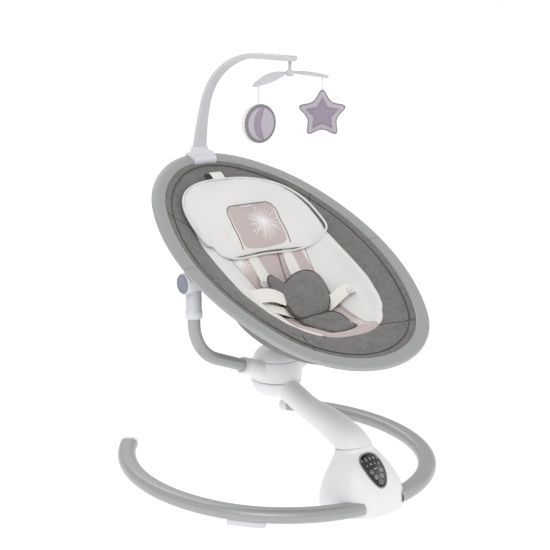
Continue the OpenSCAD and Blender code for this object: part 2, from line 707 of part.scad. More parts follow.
module dome_region(inset) {
    dome_mid = barrel_r(body_top) - dome_round + 0.7;
    translate([dome_mid, body_top + dome_h - dome_round]) circle(r = dome_round - inset, $fn = 120);
    translate([0, body_top]) square([dome_mid, dome_h - inset]);
}
module hub_dome() {
    color([0.93, 0.93, 0.94]) at_hub() rotate_extrude($fn = 96) {
        difference() {
            intersection() {
                dome_region(0);
                translate([0, body_top]) square([hub_r, dome_h]);
            }
            intersection() {
                dome_region(shell_wall);
                square([hub_r, body_top + dome_h]);
            }
        }
        rim = barrel_r(body_top) - bowl_wall - fit_gap;
        translate([rim - 2, body_top - 4]) square([2, 6]);
    }
}

// ==== carrier ====
bend_start = bracket_reach - bracket_bend * (1 - sin(bracket_rise));
bend_start_z = boss_axis_z + bend_start * tan(bracket_rise);
bend_end_z = bend_start_z + bracket_bend * cos(bracket_rise);
bracket_top = pivot_z - 31;
bracket_steps = [[0, (bend_start - tube_in) / cos(bracket_rise)], [bracket_bend, 90 - bracket_rise],
    [0, bracket_top - bend_end_z]];
module bracket_tube(side) {
    color([0.65, 0.66, 0.65]) on_side(side) at_hub() rotate([90, 0, -bracket_lead])
        translate([tube_in, boss_axis_z + tube_in * tan(bracket_rise), 0]) rotate([0, 0, bracket_rise])
            along_path(bracket_steps) round_tube_profile(bracket_d);
}
module bracket_tube_left() { bracket_tube(-1); }
module bracket_tube_right() { bracket_tube(1); }
module boss_collar(side) {
    color([0.80, 0.80, 0.82]) on_side(side) at_boss(boss_end) difference() {
        cylinder(r1 = boss_end_r, r2 = boss_end_r - 0.6, h = collar_t, $fn = round_fn);
        translate([0, 0, -1]) cylinder(d = bracket_d + fit_gap, h = collar_t + 2, $fn = round_fn);
    }
}
module boss_collar_left() { boss_collar(-1); }
module boss_collar_right() { boss_collar(1); }

pivot_x = bracket_reach * cos(bracket_lead);
pivot_y = -bracket_reach * sin(bracket_lead);
housing_in = bracket_d / 2 + 4.3;   // the housing reaches this far inward of the bracket tube's axis
housing_out = 25;           // and this far outward
sleeve_r = bracket_d / 2 + 2.8;
flange_r = bracket_d / 2 + 4.3;
flange_h = 14;
sleeve_low = pivot_z - 69.5;
button_seat = 13;           // depth of the button's recess
button_out = 2;             // how far the button stands out of the housing
button_t = 6.5;
module at_pivot_side() { at_hub() translate([pivot_x, pivot_y, pivot_z]) rotate([0, 90, 0]) children(); }
module pivot_housing(side) {
    color([0.62, 0.63, 0.64]) on_side(side) difference() {
        union() {
            at_pivot_side() translate([0, 0, -housing_in])
            cylinder(r = housing_r, h = housing_in + housing_out, $fn = round_fn);
            at_hub() translate([pivot_x, pivot_y, sleeve_low])
            cylinder(r = sleeve_r, h = pivot_z - sleeve_low, $fn = round_fn);
            at_hub() translate([pivot_x, pivot_y, sleeve_low])
            cylinder(r = flange_r, h = flange_h, $fn = round_fn);
        }
        at_hub() translate([pivot_x, pivot_y, sleeve_low - 1])
            cylinder(d = bracket_d + fit_gap, h = bracket_top - sleeve_low + 1 + fit_gap, $fn = round_fn);
        at_pivot_side() translate([0, 0, housing_out - button_seat])
            cylinder(r = button_r + fit_gap, h = button_seat + 1, $fn = round_fn);
        at_pivot_side() translate([0, 0, -housing_in - 1])
            cylinder(d = pin_d + 2 * run_gap, h = housing_in + housing_out, $fn = round_fn);
    }
}
module pivot_housing_left() { pivot_housing(-1); }
module pivot_housing_right() { pivot_housing(1); }
spring_r = pin_d / 2 + 4;
module button_spring(side) {
    color([0.75, 0.75, 0.77]) on_side(side) at_pivot_side() difference() {
        translate([0, 0, housing_out - button_seat + 0.1])
            cylinder(r = spring_r, h = button_seat + button_out - button_t - 0.2, $fn = round_fn);
        translate([0, 0, -1]) cylinder(r = spring_r - 2, h = 60, $fn = round_fn);
    }
}
module button_spring_left() { button_spring(-1); }
module button_spring_right() { button_spring(1); }
button_crown = 1.5;
module recline_button(side) {
    color([0.50, 0.52, 0.56]) on_side(side) at_pivot_side()
        translate([0, 0, housing_out + button_out - button_t]) {
        cylinder(r = button_r, h = button_t - button_crown, $fn = round_fn);
        translate([0, 0, button_t - button_crown])
            cylinder(r1 = button_r, r2 = button_r - 3, h = button_crown, $fn = round_fn);
    }
}
module recline_button_left() { recline_button(-1); }
module recline_button_right() { recline_button(1); }

// ==== seat ring: x sideways, y towards the head, z out of the ring's plane ====
module at_seat() { at_hub() translate([0, pivot_y, pivot_z]) rotate([seat_tilt, 0, 0]) children(); }
module at_ring() { at_seat() translate([0, 0, ring_rise]) children(); }
// the foot arc and the head arc close the outline with the sides and shoulders as given
foot_arc_r = (ring_half_w - side_arc_r * (1 - sin(foot_arc_turn))) / sin(foot_arc_turn);
shoulder_heading = 90 + side_arc_turn;
head_heading = shoulder_heading + shoulder_arc_turn;
head_arc_r = (ring_half_w + side_arc_r * (sin(shoulder_heading) - 1)
    + shoulder_arc_r * (sin(head_heading) - sin(shoulder_heading))) / sin(head_heading);
head_arc_turn = 180 - head_heading;
foot_steps = [[side_arc_r, 90 - foot_arc_turn], [foot_arc_r, 2 * foot_arc_turn],
    [side_arc_r, 90 - foot_arc_turn]];
head_steps = [[side_arc_r, side_arc_turn], [shoulder_arc_r, shoulder_arc_turn],
    [head_arc_r, 2 * head_arc_turn], [shoulder_arc_r, shoulder_arc_turn], [side_arc_r, side_arc_turn]];
foot_end_y = seam_ahead - side_arc_r * cos(foot_arc_turn) - foot_arc_r * (1 - cos(foot_arc_turn));
head_half = path_end([head_steps[0], head_steps[1], [head_arc_r, head_arc_turn]], [0, 0], 90);
head_end_y = seam_ahead + head_half[1];
band_wall = 2.4;
band_crown = 45;
module band_outline(grow) {
    intersection() {
        oval(band_w + 2 * grow, band_t + 2 * grow);
        translate([0, band_t / 2 - band_crown]) circle(r = band_crown + grow, $fn = 180);
    }
}
lip = [18, 2.4];            // strip under the band
lip_bite = 0.9;             // how far the strip is let into the band
lip_in = 11;                // how far the strip reaches inward
module band_profile() {
    difference() {
        union() {
            band_outline(0);
            translate([-lip_in, -band_t / 2 - lip[1] + lip_bite]) square(lip);
        }
        oval(band_w - 2 * band_wall, band_t - 2 * band_wall);
    }
}
ring_seam = 0.8;
module seam_slot() {
    translate([-cut_size, seam_ahead - ring_seam / 2, -20]) cube([2 * cut_size, ring_seam, 40]);
}
module ring_foot() {
    color([0.65, 0.66, 0.65]) at_ring() difference() {
        translate([-ring_half_w, seam_ahead, 0]) rotate([0, 0, -90]) along_path(foot_steps) band_profile();
        seam_slot();
    }
}
module ring_head() {
    color([0.65, 0.66, 0.65]) at_ring() difference() {
        translate([ring_half_w, seam_ahead, 0]) rotate([0, 0, 90]) along_path(head_steps) band_profile();
        seam_slot();
    }
}
plug_angle = 3.2;
module ring_joints() {
    color([0.5, 0.5, 0.52]) at_ring() both_sides() translate([ring_half_w - side_arc_r, seam_ahead, 0])
        rotate([0, 0, -plug_angle]) rotate_extrude(angle = 2 * plug_angle, $fn = 180)
            translate([side_arc_r, 0])
            oval(band_w - 2 * band_wall - fit_gap, band_t - 2 * band_wall - fit_gap);
}
inner_w = ring_half_w - band_w / 2;
inner_mid = (foot_end_y + head_end_y) / 2;
inner_l = (head_end_y - foot_end_y) / 2 - band_w / 2;
// distance from the middle of the ring as a share of the way to its inner edge
function rim_share(x, y) = sqrt(pow(x / inner_w, 2) + pow((y - inner_mid) / inner_l, 2));
function collar_z(x, y) = 1 - collar_drop * min(1, max(0, (1 - rim_share(x, y)) / 0.28));
plate_t = 6;
plate_gap = 0.6;            // between the plate and the pivot housing
plate_r = 17;
plate_x = pivot_x - housing_in - plate_gap - plate_t;
plate_under_lip = 3.8;      // between the plate's head and the strip under the ring
plate_under_sling = 2.7;    // between the plate's head and the sling
plate_top = ring_rise + min(-band_t / 2 - lip[1] - plate_under_lip,
    collar_z(plate_x, 0) - sling_t - plate_under_sling);
tab_t = 3;
plate_to_ring = ring_rise - band_t / 2 - lip[1] + lip_bite - 0.1 - plate_top + tab_t;
tab_near = 15;
tab_far = 28;
module pivot_plate(side) {
    color([0.55, 0.56, 0.58]) on_side(side) at_seat() difference() {
        union() {
            translate([plate_x, 0, 0]) rotate([0, 90, 0])
                cylinder(r = plate_r, h = plate_t, $fn = round_fn);
            translate([plate_x, -plate_r + 2, 0]) cube([plate_t, 2 * plate_r - 4, plate_top]);
            for (s = [-1, 1]) translate([plate_x, s > 0 ? 0 : -tab_far, plate_top - tab_t])
                cube([plate_t, tab_far, tab_t]);
            for (s = [-1, 1]) translate([plate_x, s > 0 ? tab_near : -tab_far, plate_top - tab_t])
                cube([ring_half_w + 2 - plate_x, tab_far - tab_near, tab_t]);
            for (s = [-1, 1]) translate([ring_half_w - 8, s > 0 ? tab_near : -tab_far, plate_top - tab_t])
                cube([10, tab_far - tab_near, plate_to_ring]);
        }
        rotate([0, 90, 0]) cylinder(d = pin_d + run_gap, h = 2 * pivot_x, $fn = round_fn);
    }
}
module pivot_plate_left() { pivot_plate(-1); }
module pivot_plate_right() { pivot_plate(1); }
pin_head_t = 2.5;
module recline_pins() {
    color([0.72, 0.73, 0.75]) at_seat() both_sides() rotate([0, 90, 0]) {
        translate([0, 0, plate_x - pin_head_t]) cylinder(d = pin_d + 6, h = pin_head_t - 0.1, $fn = round_fn);
        translate([0, 0, plate_x - pin_head_t])
            cylinder(d = pin_d, h = pivot_x + housing_out - button_seat + 2 - plate_x + pin_head_t,
                $fn = round_fn);
    }
}

// ==== soft goods: heights over the ring's plane as functions of x and y ====
soft_gap = 1.2;             // clearance between soft pieces
liner_bed = 5;              // clearance between the bucket and the liner that lies in it
pillow_bed = 3;             // clearance between the liner and the pillow
strap_bed = 1.7;            // clearance between the liner and the waist straps
shoulder_bed = 1.35;        // clearance between the liner and the shoulder straps
function squared_share(x, y, mid_y, a, b, power) =
    pow(pow(abs(x) / a, power) + pow(abs(y - mid_y) / b, power), 1 / power);
function dome(share, power) = share >= 1 ? 0 : pow(1 - share * share, power);
function along_seat(y, deepest, foot, head, foot_power, head_power) = y < deepest
    ? (y <= foot ? 0 : pow(cos(90 * (deepest - y) / (deepest - foot)), foot_power))
    : (y >= head ? 0 : pow(cos(90 * (y - deepest) / (head - deepest)), head_power));
deepest_y = -76;            // where the seat is deepest
liner_mid = 24;
liner_w = inner_w - 62;
liner_l = inner_l - 59;
liner_power = 3;
function liner_half_w(y) = let (f = min(1, abs(y - liner_mid) / liner_l))
    max(1, liner_w * pow(1 - pow(f, liner_power), 1 / liner_power));
plate_room = 22;            // how far inside the pivot plates the bucket's side starts to drop
under_share = 0.97;         // where the underside starts to drop, as a share of the opening's half width
// half width of the bucket's underside, drawn in where the pivot plates pass
function under_half_w(y) = let (f = min(1, abs(y - inner_mid) / inner_l))
    max(1, under_share * inner_w * sqrt(1 - f * f)
        - (under_share * inner_w - plate_x + plate_room) * exp(-pow(y / 60, 2)));
function bucket_under(x, y) = collar_z(x, y) - sling_t
    - bucket_drop * along_seat(y, deepest_y, foot_end_y + band_w, head_end_y - band_w / 2, 0.7, 1.6)
        * dome(abs(x) / under_half_w(y), 0.8);
function bucket_inside(x, y) = collar_z(x, y)
    - bucket_drop * along_seat(y, deepest_y, liner_mid - liner_l + 14, liner_mid + liner_l - 14, 1, 1.8)
        * dome((abs(x) + 12) / liner_half_w(y), 1);
liner_edge = 7;             // thickness of the liner at its rim
liner_slope_l = liner_l - 52;   // from the liner's middle to where its back starts to sink
function liner_top(x, y) = max(bucket_inside(x, y) + liner_edge, liner_edge - collar_drop + 1
    - liner_drop * along_seat(y, deepest_y, liner_mid - liner_l, liner_mid + liner_slope_l, 0.8, 1.3)
        * dome(abs(x) / liner_half_w(y), 0.9));
pillow_mid = 152;
pillow_puff = 26;
function pillow_top(x, y) = liner_top(x, y) + liner_edge
    + pillow_puff * dome(squared_share(x, y, pillow_mid, pillow_half_w, pillow_half_l, 2.4), 1);

rim_steps = concat(foot_steps, head_steps);
function ring_inside(gap) = let (points = path_points(rim_steps, 52, [-ring_half_w, seam_ahead], -90))
    [for (i = [0:len(points) - 2]) let (p = points[i])
        [p[0] - (band_w / 2 + gap) * sin(p[2]), p[1] + (band_w / 2 + gap) * cos(p[2])]];

module seat_bucket() {
    color([0.47, 0.47, 0.455]) at_ring() cushion(ring_inside(fit_gap), [0, inner_mid],
        [1, 0.93, 0.85, 0.78, 0.72, 0.66, 0.58, 0.46, 0.3, 0.15],
        function (x, y) bucket_inside(x, y), function (x, y) bucket_under(x, y));
}
module seat_liner() {
    color([0.90, 0.89, 0.87]) at_ring() cushion(
        [for (p = rounded_outline(liner_w, liner_l, liner_power, 40)) p + [0, liner_mid]],
        [0, liner_mid - 30], [1, 0.94, 0.86, 0.74, 0.6, 0.45, 0.3, 0.15],
        function (x, y) liner_top(x, y), function (x, y) bucket_inside(x, y) + liner_bed);
}
module head_pillow() {
    color([0.92, 0.91, 0.90]) at_ring() cushion(
        [for (p = rounded_outline(pillow_half_w, pillow_half_l, 3.2, 40)) p + [0, pillow_mid]],
        [0, pillow_mid], [1, 0.92, 0.8, 0.6, 0.4, 0.2],
        function (x, y) pillow_top(x, y), function (x, y) liner_top(x, y) + pillow_bed);
}

// A strap of webbing laid over a surface: path is its middle line on the ring's plane
module surface_band(path, half_w, thickness, bed) {
    last = len(path) - 1;
    skin([for (i = [0:last])
        let (d = path[min(i + 1, last)] - path[max(i - 1, 0)], left = [-d[1], d[0]] / norm(d),
            across = [for (f = [1, 0.5, 0, -0.5, -1]) path[i] + f * half_w * left])
        concat([for (p = across) [p[0], p[1], bed(p[0], p[1]) + thickness]],
            [for (k = [4:-1:0]) let (p = across[k]) [p[0], p[1], bed(p[0], p[1])]])], folded = true);
}
function between(a, b, count) = [for (i = [0:count]) a + (b - a) * i / count];
function on_liner(x, y) = liner_top(x, y) + strap_bed;
function on_shoulder(x, y) = liner_top(x, y) + shoulder_bed;
shoulder_line = between([46, -34], [62, 28], 6);
waist_line = between([36, -84], [118, -66], 9);
module shoulder_straps() {
    color([0.90, 0.87, 0.82]) at_ring() both_sides()
        surface_band(shoulder_line, strap_w / 2, webbing_t, function (x, y) on_shoulder(x, y));
}
module waist_straps() {
    color([0.90, 0.87, 0.82]) at_ring() both_sides()
        surface_band(waist_line, strap_w / 2, webbing_t, function (x, y) on_liner(x, y));
}
tab_line = between([0, pillow_mid + pillow_half_l + soft_gap], [0, liner_mid + liner_l - 4], 3);
tab_half_w = 19;
module pillow_tab() {
    color([0.90, 0.90, 0.90]) at_ring()
        surface_band(tab_line, tab_half_w, webbing_t, function (x, y) on_liner(x, y) - soft_gap / 2);
}
slider = [8, strap_w + 8];
module strap_sliders() {
    color([0.88, 0.88, 0.88]) at_ring() both_sides() {
        surface_band(between([88, -72.5], [96, -71], 1), slider[1] / 2, 2,
            function (x, y) on_liner(x, y) + webbing_t + 2 * fit_gap);
        surface_band(between([53.5, -4], [51.5, -12], 1), slider[1] / 2, 2,
            function (x, y) on_shoulder(x, y) + webbing_t + 2 * fit_gap);
    }
}
buckle_mid = [0, -84];
buckle_size = [62, 44, 13];
buckle_outline = rounded_outline(buckle_size[0] / 2, buckle_size[1] / 2, 3, 32);
buckle_z = max([for (p = buckle_outline) liner_top(p[0], buckle_mid[1] + p[1])]) + 2 * fit_gap;
module buckle() {
    color([0.16, 0.16, 0.17]) at_ring() translate([buckle_mid[0], buckle_mid[1], buckle_z])
        linear_extrude(height = buckle_size[2]) polygon(buckle_outline);
}
cover_half_w = 54;
cover_half_l = 58;
cover_pad_t = 9;
cover_edge_t = 5;
cover_bow = 0.0008;         // how fast the underside rises towards the rim
cover_z = buckle_z + buckle_size[2] + fit_gap;
cover_power = 2.3;
cover_mid = buckle_mid + [3, 12];
module buckle_cover() {
    color([0.47, 0.47, 0.455]) at_ring() cushion(
        [for (p = rounded_outline(cover_half_w, cover_half_l, cover_power, 32)) p + cover_mid],
        cover_mid, [1, 0.9, 0.7, 0.4],
        function (x, y) cover_z + cover_edge_t + cover_pad_t
            * dome(squared_share(x - cover_mid[0], y, cover_mid[1], cover_half_w, cover_half_l, cover_power), 0.8),
        function (x, y) cover_z + cover_bow * (pow(x - cover_mid[0], 2) + pow(y - cover_mid[1], 2)));
}
crotch_start = liner_mid - liner_l + 90;
crotch_line = between([6, crotch_start], [4, crotch_start - 52], 5);
module crotch_strap() {
    color([0.47, 0.47, 0.455]) at_ring()
        surface_band(crotch_line, 42, 6, function (x, y) on_liner(x, y) + soft_gap);
}

// ==== toy bar: y and z in the seat's frame, which tilts with the ring ====
clamp_body = [band_w + 10, band_t + 13];
socket_w = bar_base_w + 9;
socket_t = bar_t + 14;
bar_foot = [head_end_y + 8.9, ring_rise + 3];
bar_heading = 67.4;         // angle between the ring's plane and the foot of the toy bar
bar_steps = [[436, 15.3], [142, 35.8], [228, 33.7], [0, 121]];
bar_length = path_length(bar_steps);
bar_nose = 8;               // length of the rounding at the bar's tip
bar_taper = 150;            // length over which the bar narrows
function bar_width(s) = s < bar_taper ? bar_base_w + (bar_tip_w - bar_base_w) * sin(90 * s / bar_taper)
    : bar_tip_w
        * (s > bar_length - bar_nose ? sqrt(max(0.05, 1 - pow((s - bar_length + bar_nose) / bar_nose, 2))) : 1);
function bar_thickness(s) = bar_t
    * (s > bar_length - bar_nose ? sqrt(max(0.05, 1 - pow((s - bar_length + bar_nose) / bar_nose, 2))) : 1);
bar_stations = path_points(bar_steps, 19, bar_foot, bar_heading);
bar_last = bar_stations[len(bar_stations) - 1];
module bar_solid(grow) {
    body = [for (p = bar_stations) if (p[3] < bar_length - 10) p];
    nose = [for (back = [8, 5, 2.5, 0.8, 0])
        [bar_last[0] - back * cos(bar_last[2]), bar_last[1] - back * sin(bar_last[2]),
            bar_last[2], bar_length - back]];
    skin(bar_rings(concat(body, nose), function (s) bar_width(s) + 2 * grow,
        function (s) bar_thickness(s) + 2 * grow, 3, 20));
}
module over_ring(gap) { translate([-cut_size, 0, ring_rise + band_t / 2 + gap]) cube(2 * cut_size); }
// the stem hangs upright from the bar's tip; its axis in the seat's frame and in the world
stem_inset = 15;
stem_at = [bar_last[0] - stem_inset * cos(bar_last[2]), bar_last[1] - stem_inset * sin(bar_last[2])];
stem_world = [pivot_y, pivot_z] + turned(stem_at, seat_tilt);
module at_stem() { at_hub() translate([0, stem_world[0], stem_world[1]]) children(); }
stem_bite = 2.5;            // how far the stem goes into the toy bar
stem_length = 31;           // from the bar's underside to the end of the stem's head
stem_head = [12, 2.4];
bar_half_t = bar_t / 2;
module toy_arch() {
    color([0.90, 0.90, 0.91]) difference() {
        at_seat() intersection() {
            bar_solid(0);
            over_ring(1.5);
        }
        at_stem() translate([0, 0, -bar_t])
            cylinder(d = stem_d + fit_gap, h = bar_t - bar_half_t + stem_bite + 0.2, $fn = round_fn);
    }
}
module bar_clamp() {
    clamp_angle = clamp_l / head_arc_r * 180 / PI;
    color([0.93, 0.93, 0.94]) at_seat() difference() {
        union() {
            translate([0, head_end_y - head_arc_r, ring_rise]) rotate([0, 0, 90 - clamp_angle / 2])
                rotate_extrude(angle = clamp_angle, $fn = 180) translate([head_arc_r, 0])
                    oval(clamp_body[0], clamp_body[1]);
            translate([-socket_w / 2, head_end_y - 4, ring_rise])
                cube([socket_w, socket_t, band_t / 2 + 12]);
        }
        translate([0, head_end_y - head_arc_r, ring_rise]) rotate([0, 0, 90 - clamp_angle])
            rotate_extrude(angle = 2 * clamp_angle, $fn = 180) translate([head_arc_r, 0])
                oval(band_w + 0.5, band_t + 0.5);
        translate([0, head_end_y - head_arc_r, ring_rise]) rotate([0, 0, 90 - clamp_angle])
            rotate_extrude(angle = 2 * clamp_angle, $fn = 180) translate([head_arc_r - 2, -band_t / 2])
                square([lip[0] + 2, 2 * lip[1]], center = true);
        translate([0, head_end_y - head_arc_r, ring_rise - cut_size + 1.8])
            cylinder(r = head_arc_r - band_w / 2 - 0.2, h = cut_size, $fn = 180);
        intersection() {
            bar_solid(fit_gap);
            over_ring(1);
        }
    }
}
module drop_stem() {
    color([0.85, 0.85, 0.86]) at_stem() {
        translate([0, 0, -bar_half_t + stem_bite - stem_length])
            cylinder(d = stem_d, h = stem_length, $fn = round_fn);
        translate([0, 0, -bar_half_t + stem_bite - stem_length])
            cylinder(d = stem_head[0], h = stem_head[1], $fn = round_fn);
    }
}

// ==== mobile ====
hub_disc = [15, 9];
bar_mid_z = -bar_half_t + stem_bite - stem_length + stem_head[1] + 0.1 + hub_disc[1] / 2;
blade_t = 3.6;
moon_x = -(moon_reach - 15);
star_x = star_reach - 16;
function blade_z(x) = bar_mid_z - (x < 0 ? 22 * pow(-x / moon_reach, 1.6) : 13 * pow(x / star_reach, 1.6));
function blade_w(x) = let (f = x < 0 ? -x / moon_reach : x / star_reach)
    f > 0.97 ? 5 : 9 + 15 * pow(sin(180 * min(1, f * 0.92)), 2);
string_hole = string_d + 1.2;
module cross_bar() {
    color([0.92, 0.92, 0.93]) at_stem() difference() {
        union() {
            skin([for (f = [-1:0.1:1.01]) let (x = f < 0 ? f * moon_reach : f * star_reach)
                [for (p = rounded_outline(blade_w(x) / 2, blade_t / 2, 2.2, 16))
                    [x, p[0], blade_z(x) + p[1]]]]);
            translate([0, 0, bar_mid_z - hub_disc[1] / 2])
                cylinder(d = hub_disc[0], h = hub_disc[1], $fn = round_fn);
        }
        translate([0, 0, bar_mid_z - 20]) cylinder(d = stem_d + 2 * run_gap, h = 40, $fn = round_fn);
        for (x = [moon_x, star_x]) translate([x, 0, blade_z(x) - 20])
            cylinder(d = string_hole, h = 40, $fn = round_fn);
    }
}
string_over = 3;            // how far a string stands out over the blade
moon_drop = 44;
star_drop = 34;
module toy_string(x, drop) {
    route = [[x, 0, blade_z(x) + string_over], [x, 0, blade_z(x) - drop / 2],
        [x, 0, blade_z(x) + string_over - drop]];
    skin([for (k = [2:-1:0]) [for (i = [0:7]) route[k]
        + [string_d / 2 * cos(45 * i), string_d / 2 * sin(45 * i), 0]]]);
}
module moon_string() { color([0.75, 0.72, 0.75]) at_stem() toy_string(moon_x, moon_drop); }
module star_string() { color([0.75, 0.72, 0.75]) at_stem() toy_string(star_x, star_drop); }
moon_z = blade_z(moon_x) + string_over - moon_drop - moon_d / 2 - 0.2;
module moon_toy() {
    color([0.74, 0.71, 0.78]) at_stem() translate([moon_x, 0, moon_z]) rotate([90, 0, 0])
        rotate_extrude($fn = 96)
        intersection() {
            union() {
                translate([moon_d / 2 - toy_t / 2, 0]) circle(d = toy_t, $fn = 48);
                translate([0, -toy_t / 2]) square([moon_d / 2 - toy_t / 2, toy_t]);
            }
            translate([0, -toy_t]) square([moon_d, 2 * toy_t]);
        }
}
star_inner = 0.58;
star_turn = -38;
star_z = blade_z(star_x) + string_over - star_drop - star_r - 0.2;
module star_toy() {
    color([0.66, 0.60, 0.70]) at_stem() translate([star_x, 0, star_z])
        rotate([0, 0, star_turn]) rotate([90, 0, 0])
        translate([0, 0, -toy_t / 2]) linear_extrude(height = toy_t)
            polygon([for (i = [0:9]) let (r = i % 2 == 0 ? star_r : star_r * star_inner)
                [r * cos(90 + 36 * i), r * sin(90 + 36 * i)]]);
}

base_tube_left();
base_tube_right();
end_cap_left();
end_cap_right();
foot_pads();
pod_shell();
pod_bottom_cover();
pod_screws();
panel_bezel();
touch_panel();
main_board();
speaker();
power_inlet();
pod_bracket();
arm_cover_left();
arm_cover_right();
arm_tube();
hub_bowl();
spindle();
spindle_nut();
drive_coil();
bearing_lower();
bearing_upper();
hub_body();
hub_dome();
drive_magnets();
bracket_tube_left();
bracket_tube_right();
boss_collar_left();
boss_collar_right();
pivot_housing_left();
pivot_housing_right();
button_spring_left();
button_spring_right();
recline_button_left();
recline_button_right();
ring_foot();
ring_head();
ring_joints();
pivot_plate_left();
pivot_plate_right();
recline_pins();
seat_bucket();
seat_liner();
head_pillow();
pillow_tab();
shoulder_straps();
waist_straps();
strap_sliders();
crotch_strap();
buckle();
buckle_cover();
bar_clamp();
toy_arch();
drop_stem();
cross_bar();
moon_string();
moon_toy();
star_string();
star_toy();
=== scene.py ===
"""Looks of a baby swing, built round its packed construction model.

Lengths inside the classes are millimetres; a Place turns them into the part's frame in metres.
X is sideways, -Y is the foot end and the touch panel, Z is up and the floor is at zero.
"""

import logging
import math
from dataclasses import dataclass
from functools import cache
from typing import Callable, Iterable, Optional, Sequence

import bmesh
import bpy
import numpy as np
from mathutils import Matrix, Vector
from mathutils.bvhtree import BVHTree


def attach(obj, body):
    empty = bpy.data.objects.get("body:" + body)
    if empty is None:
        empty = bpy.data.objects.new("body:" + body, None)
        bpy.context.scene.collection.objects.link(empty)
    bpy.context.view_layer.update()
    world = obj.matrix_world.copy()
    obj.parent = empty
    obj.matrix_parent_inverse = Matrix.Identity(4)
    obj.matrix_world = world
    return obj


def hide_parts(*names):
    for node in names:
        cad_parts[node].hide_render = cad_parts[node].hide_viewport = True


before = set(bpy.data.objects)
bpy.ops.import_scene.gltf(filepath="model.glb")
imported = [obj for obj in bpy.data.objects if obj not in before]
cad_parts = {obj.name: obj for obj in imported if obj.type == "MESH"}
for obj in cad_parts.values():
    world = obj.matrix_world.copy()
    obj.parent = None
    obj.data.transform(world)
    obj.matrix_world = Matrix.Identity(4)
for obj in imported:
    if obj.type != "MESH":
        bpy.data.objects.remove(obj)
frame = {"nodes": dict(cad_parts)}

MM = 0.001
log = logging.getLogger("baby_swing")
Point = tuple[float, float, float]
Ring = list[Point]


def sin_deg(angle: float) -> float:
    """Returns the sine of an angle in degrees."""
    return math.sin(math.radians(angle))


def cos_deg(angle: float) -> float:
    """Returns the cosine of an angle in degrees."""
    return math.cos(math.radians(angle))


def rounded(c: float, power: float) -> float:
    """Returns a sine or cosine raised to a power, its sign kept."""
    return math.copysign(abs(c) ** power, c)


def superellipse(a: float, b: float, power: float, count: int) -> list[tuple[float, float]]:
    """Draws a rounded outline.

    Args:
        a: Half size across.
        b: Half size along.
        power: 2 is an ellipse, more is squarer.
        count: Number of points.

    Returns:
        The outline's points, counter-clockwise.
    """
    points = []
    for i in range(count):
        c, s = cos_deg(360 * i / count), sin_deg(360 * i / count)
        points.append((a * rounded(c, 2 / power), b * rounded(s, 2 / power)))
    return points


def spline(rows: Sequence[Sequence[float]], i: int, t: float) -> list[float]:
    """Returns the numbers on a smooth curve through rows, at a share of the step after row i."""
    a, b, c, d = rows[max(i - 1, 0)], rows[i], rows[i + 1], rows[min(i + 2, len(rows) - 1)]
    return [
        0.5 * (2 * q + (r - p) * t + (2 * p - 5 * q + 4 * r - s) * t * t + (3 * q - p - 3 * r + s) * t**3)
        for p, q, r, s in zip(a, b, c, d)
    ]


def smooth_rows(rows: Sequence[Sequence[float]], per: int) -> list[list[float]]:
    """Joins rows of numbers by a smooth curve through all of them.

    Args:
        rows: The rows to pass through.
        per: Steps between two rows.

    Returns:
        The finer rows, the first and last kept.
    """
    return [spline(rows, i, k / per) for i in range(len(rows) - 1) for k in range(per)] + [list(rows[-1])]


@dataclass(frozen=True)
class Step:
    """One stretch of a bent bar: straight when the radius is zero, else a left-hand bend."""

    radius: float
    amount: float

    @property
    def length(self) -> float:
        """Length of the stretch along its middle line."""
        return self.amount if self.radius == 0 else self.radius * math.radians(self.amount)

    def point(self, share: float) -> tuple[float, float, float]:
        """Returns x, y and the turned angle at a share of the stretch."""
        if self.radius == 0:
            return share * self.amount, 0.0, 0.0
        turn = share * self.amount
        return self.radius * sin_deg(turn), self.radius * (1 - cos_deg(turn)), turn


@dataclass(frozen=True)
class Path:
    """A bar's middle line, made of steps, in its own plane."""

    steps: tuple[Step, ...]
    start: tuple[float, float] = (0.0, 0.0)
    heading: float = 0.0

    @property
    def length(self) -> float:
        """Whole length of the path."""
        return sum(step.length for step in self.steps)

    def stations(self, pitch: float) -> list[tuple[float, float, float, float]]:
        """Walks the path.

        Args:
            pitch: Rough distance between stations.

        Returns:
            x, y, heading and distance at each station.
        """
        out: list[tuple[float, float, float, float]] = []
        (x, y), h, gone = self.start, self.heading, 0.0
        for number, step in enumerate(self.steps):
            count = max(2, round(step.length / pitch))
            last = count if number == len(self.steps) - 1 else count - 1
            across, along = cos_deg(h), sin_deg(h)
            for k in range(count + 1):
                px, py, turn = step.point(k / count)
                spot = (x + px * across - py * along, y + px * along + py * across, h + turn)
                if k <= last:
                    out.append((*spot, gone + step.length * k / count))
            x, y, h = spot
            gone += step.length
        return out


@dataclass(frozen=True)
class Places:
    """Where the swing's sub-assemblies stand in the part's frame."""

    hub_y: float = 30.0
    pivot_y: float = -27.0062
    pivot_z: float = 426.5
    tilt: float = 27.8
    ring_rise: float = 29.8
    stem_y: float = -42.731
    stem_z: float = 839.97

    def hub(self) -> Matrix:
        """Returns the frame whose upright axis is the swing's hub."""
        return Matrix.Translation((0, self.hub_y, 0))

    def seat(self) -> Matrix:
        """Returns the frame on the recline axis that tilts with the seat."""
        tilt = Matrix.Rotation(math.radians(self.tilt), 4, "X")
        return self.hub() @ Matrix.Translation((0, self.pivot_y, self.pivot_z)) @ tilt

    def ring(self) -> Matrix:
        """Returns the frame in the plane of the seat's ring, y towards the head."""
        return self.seat() @ Matrix.Translation((0, 0, self.ring_rise))

    def stem(self) -> Matrix:
        """Returns the frame at the toy bar's tip, on the axis of the stem."""
        return self.hub() @ Matrix.Translation((0, self.stem_y, self.stem_z))


PLACES = Places()


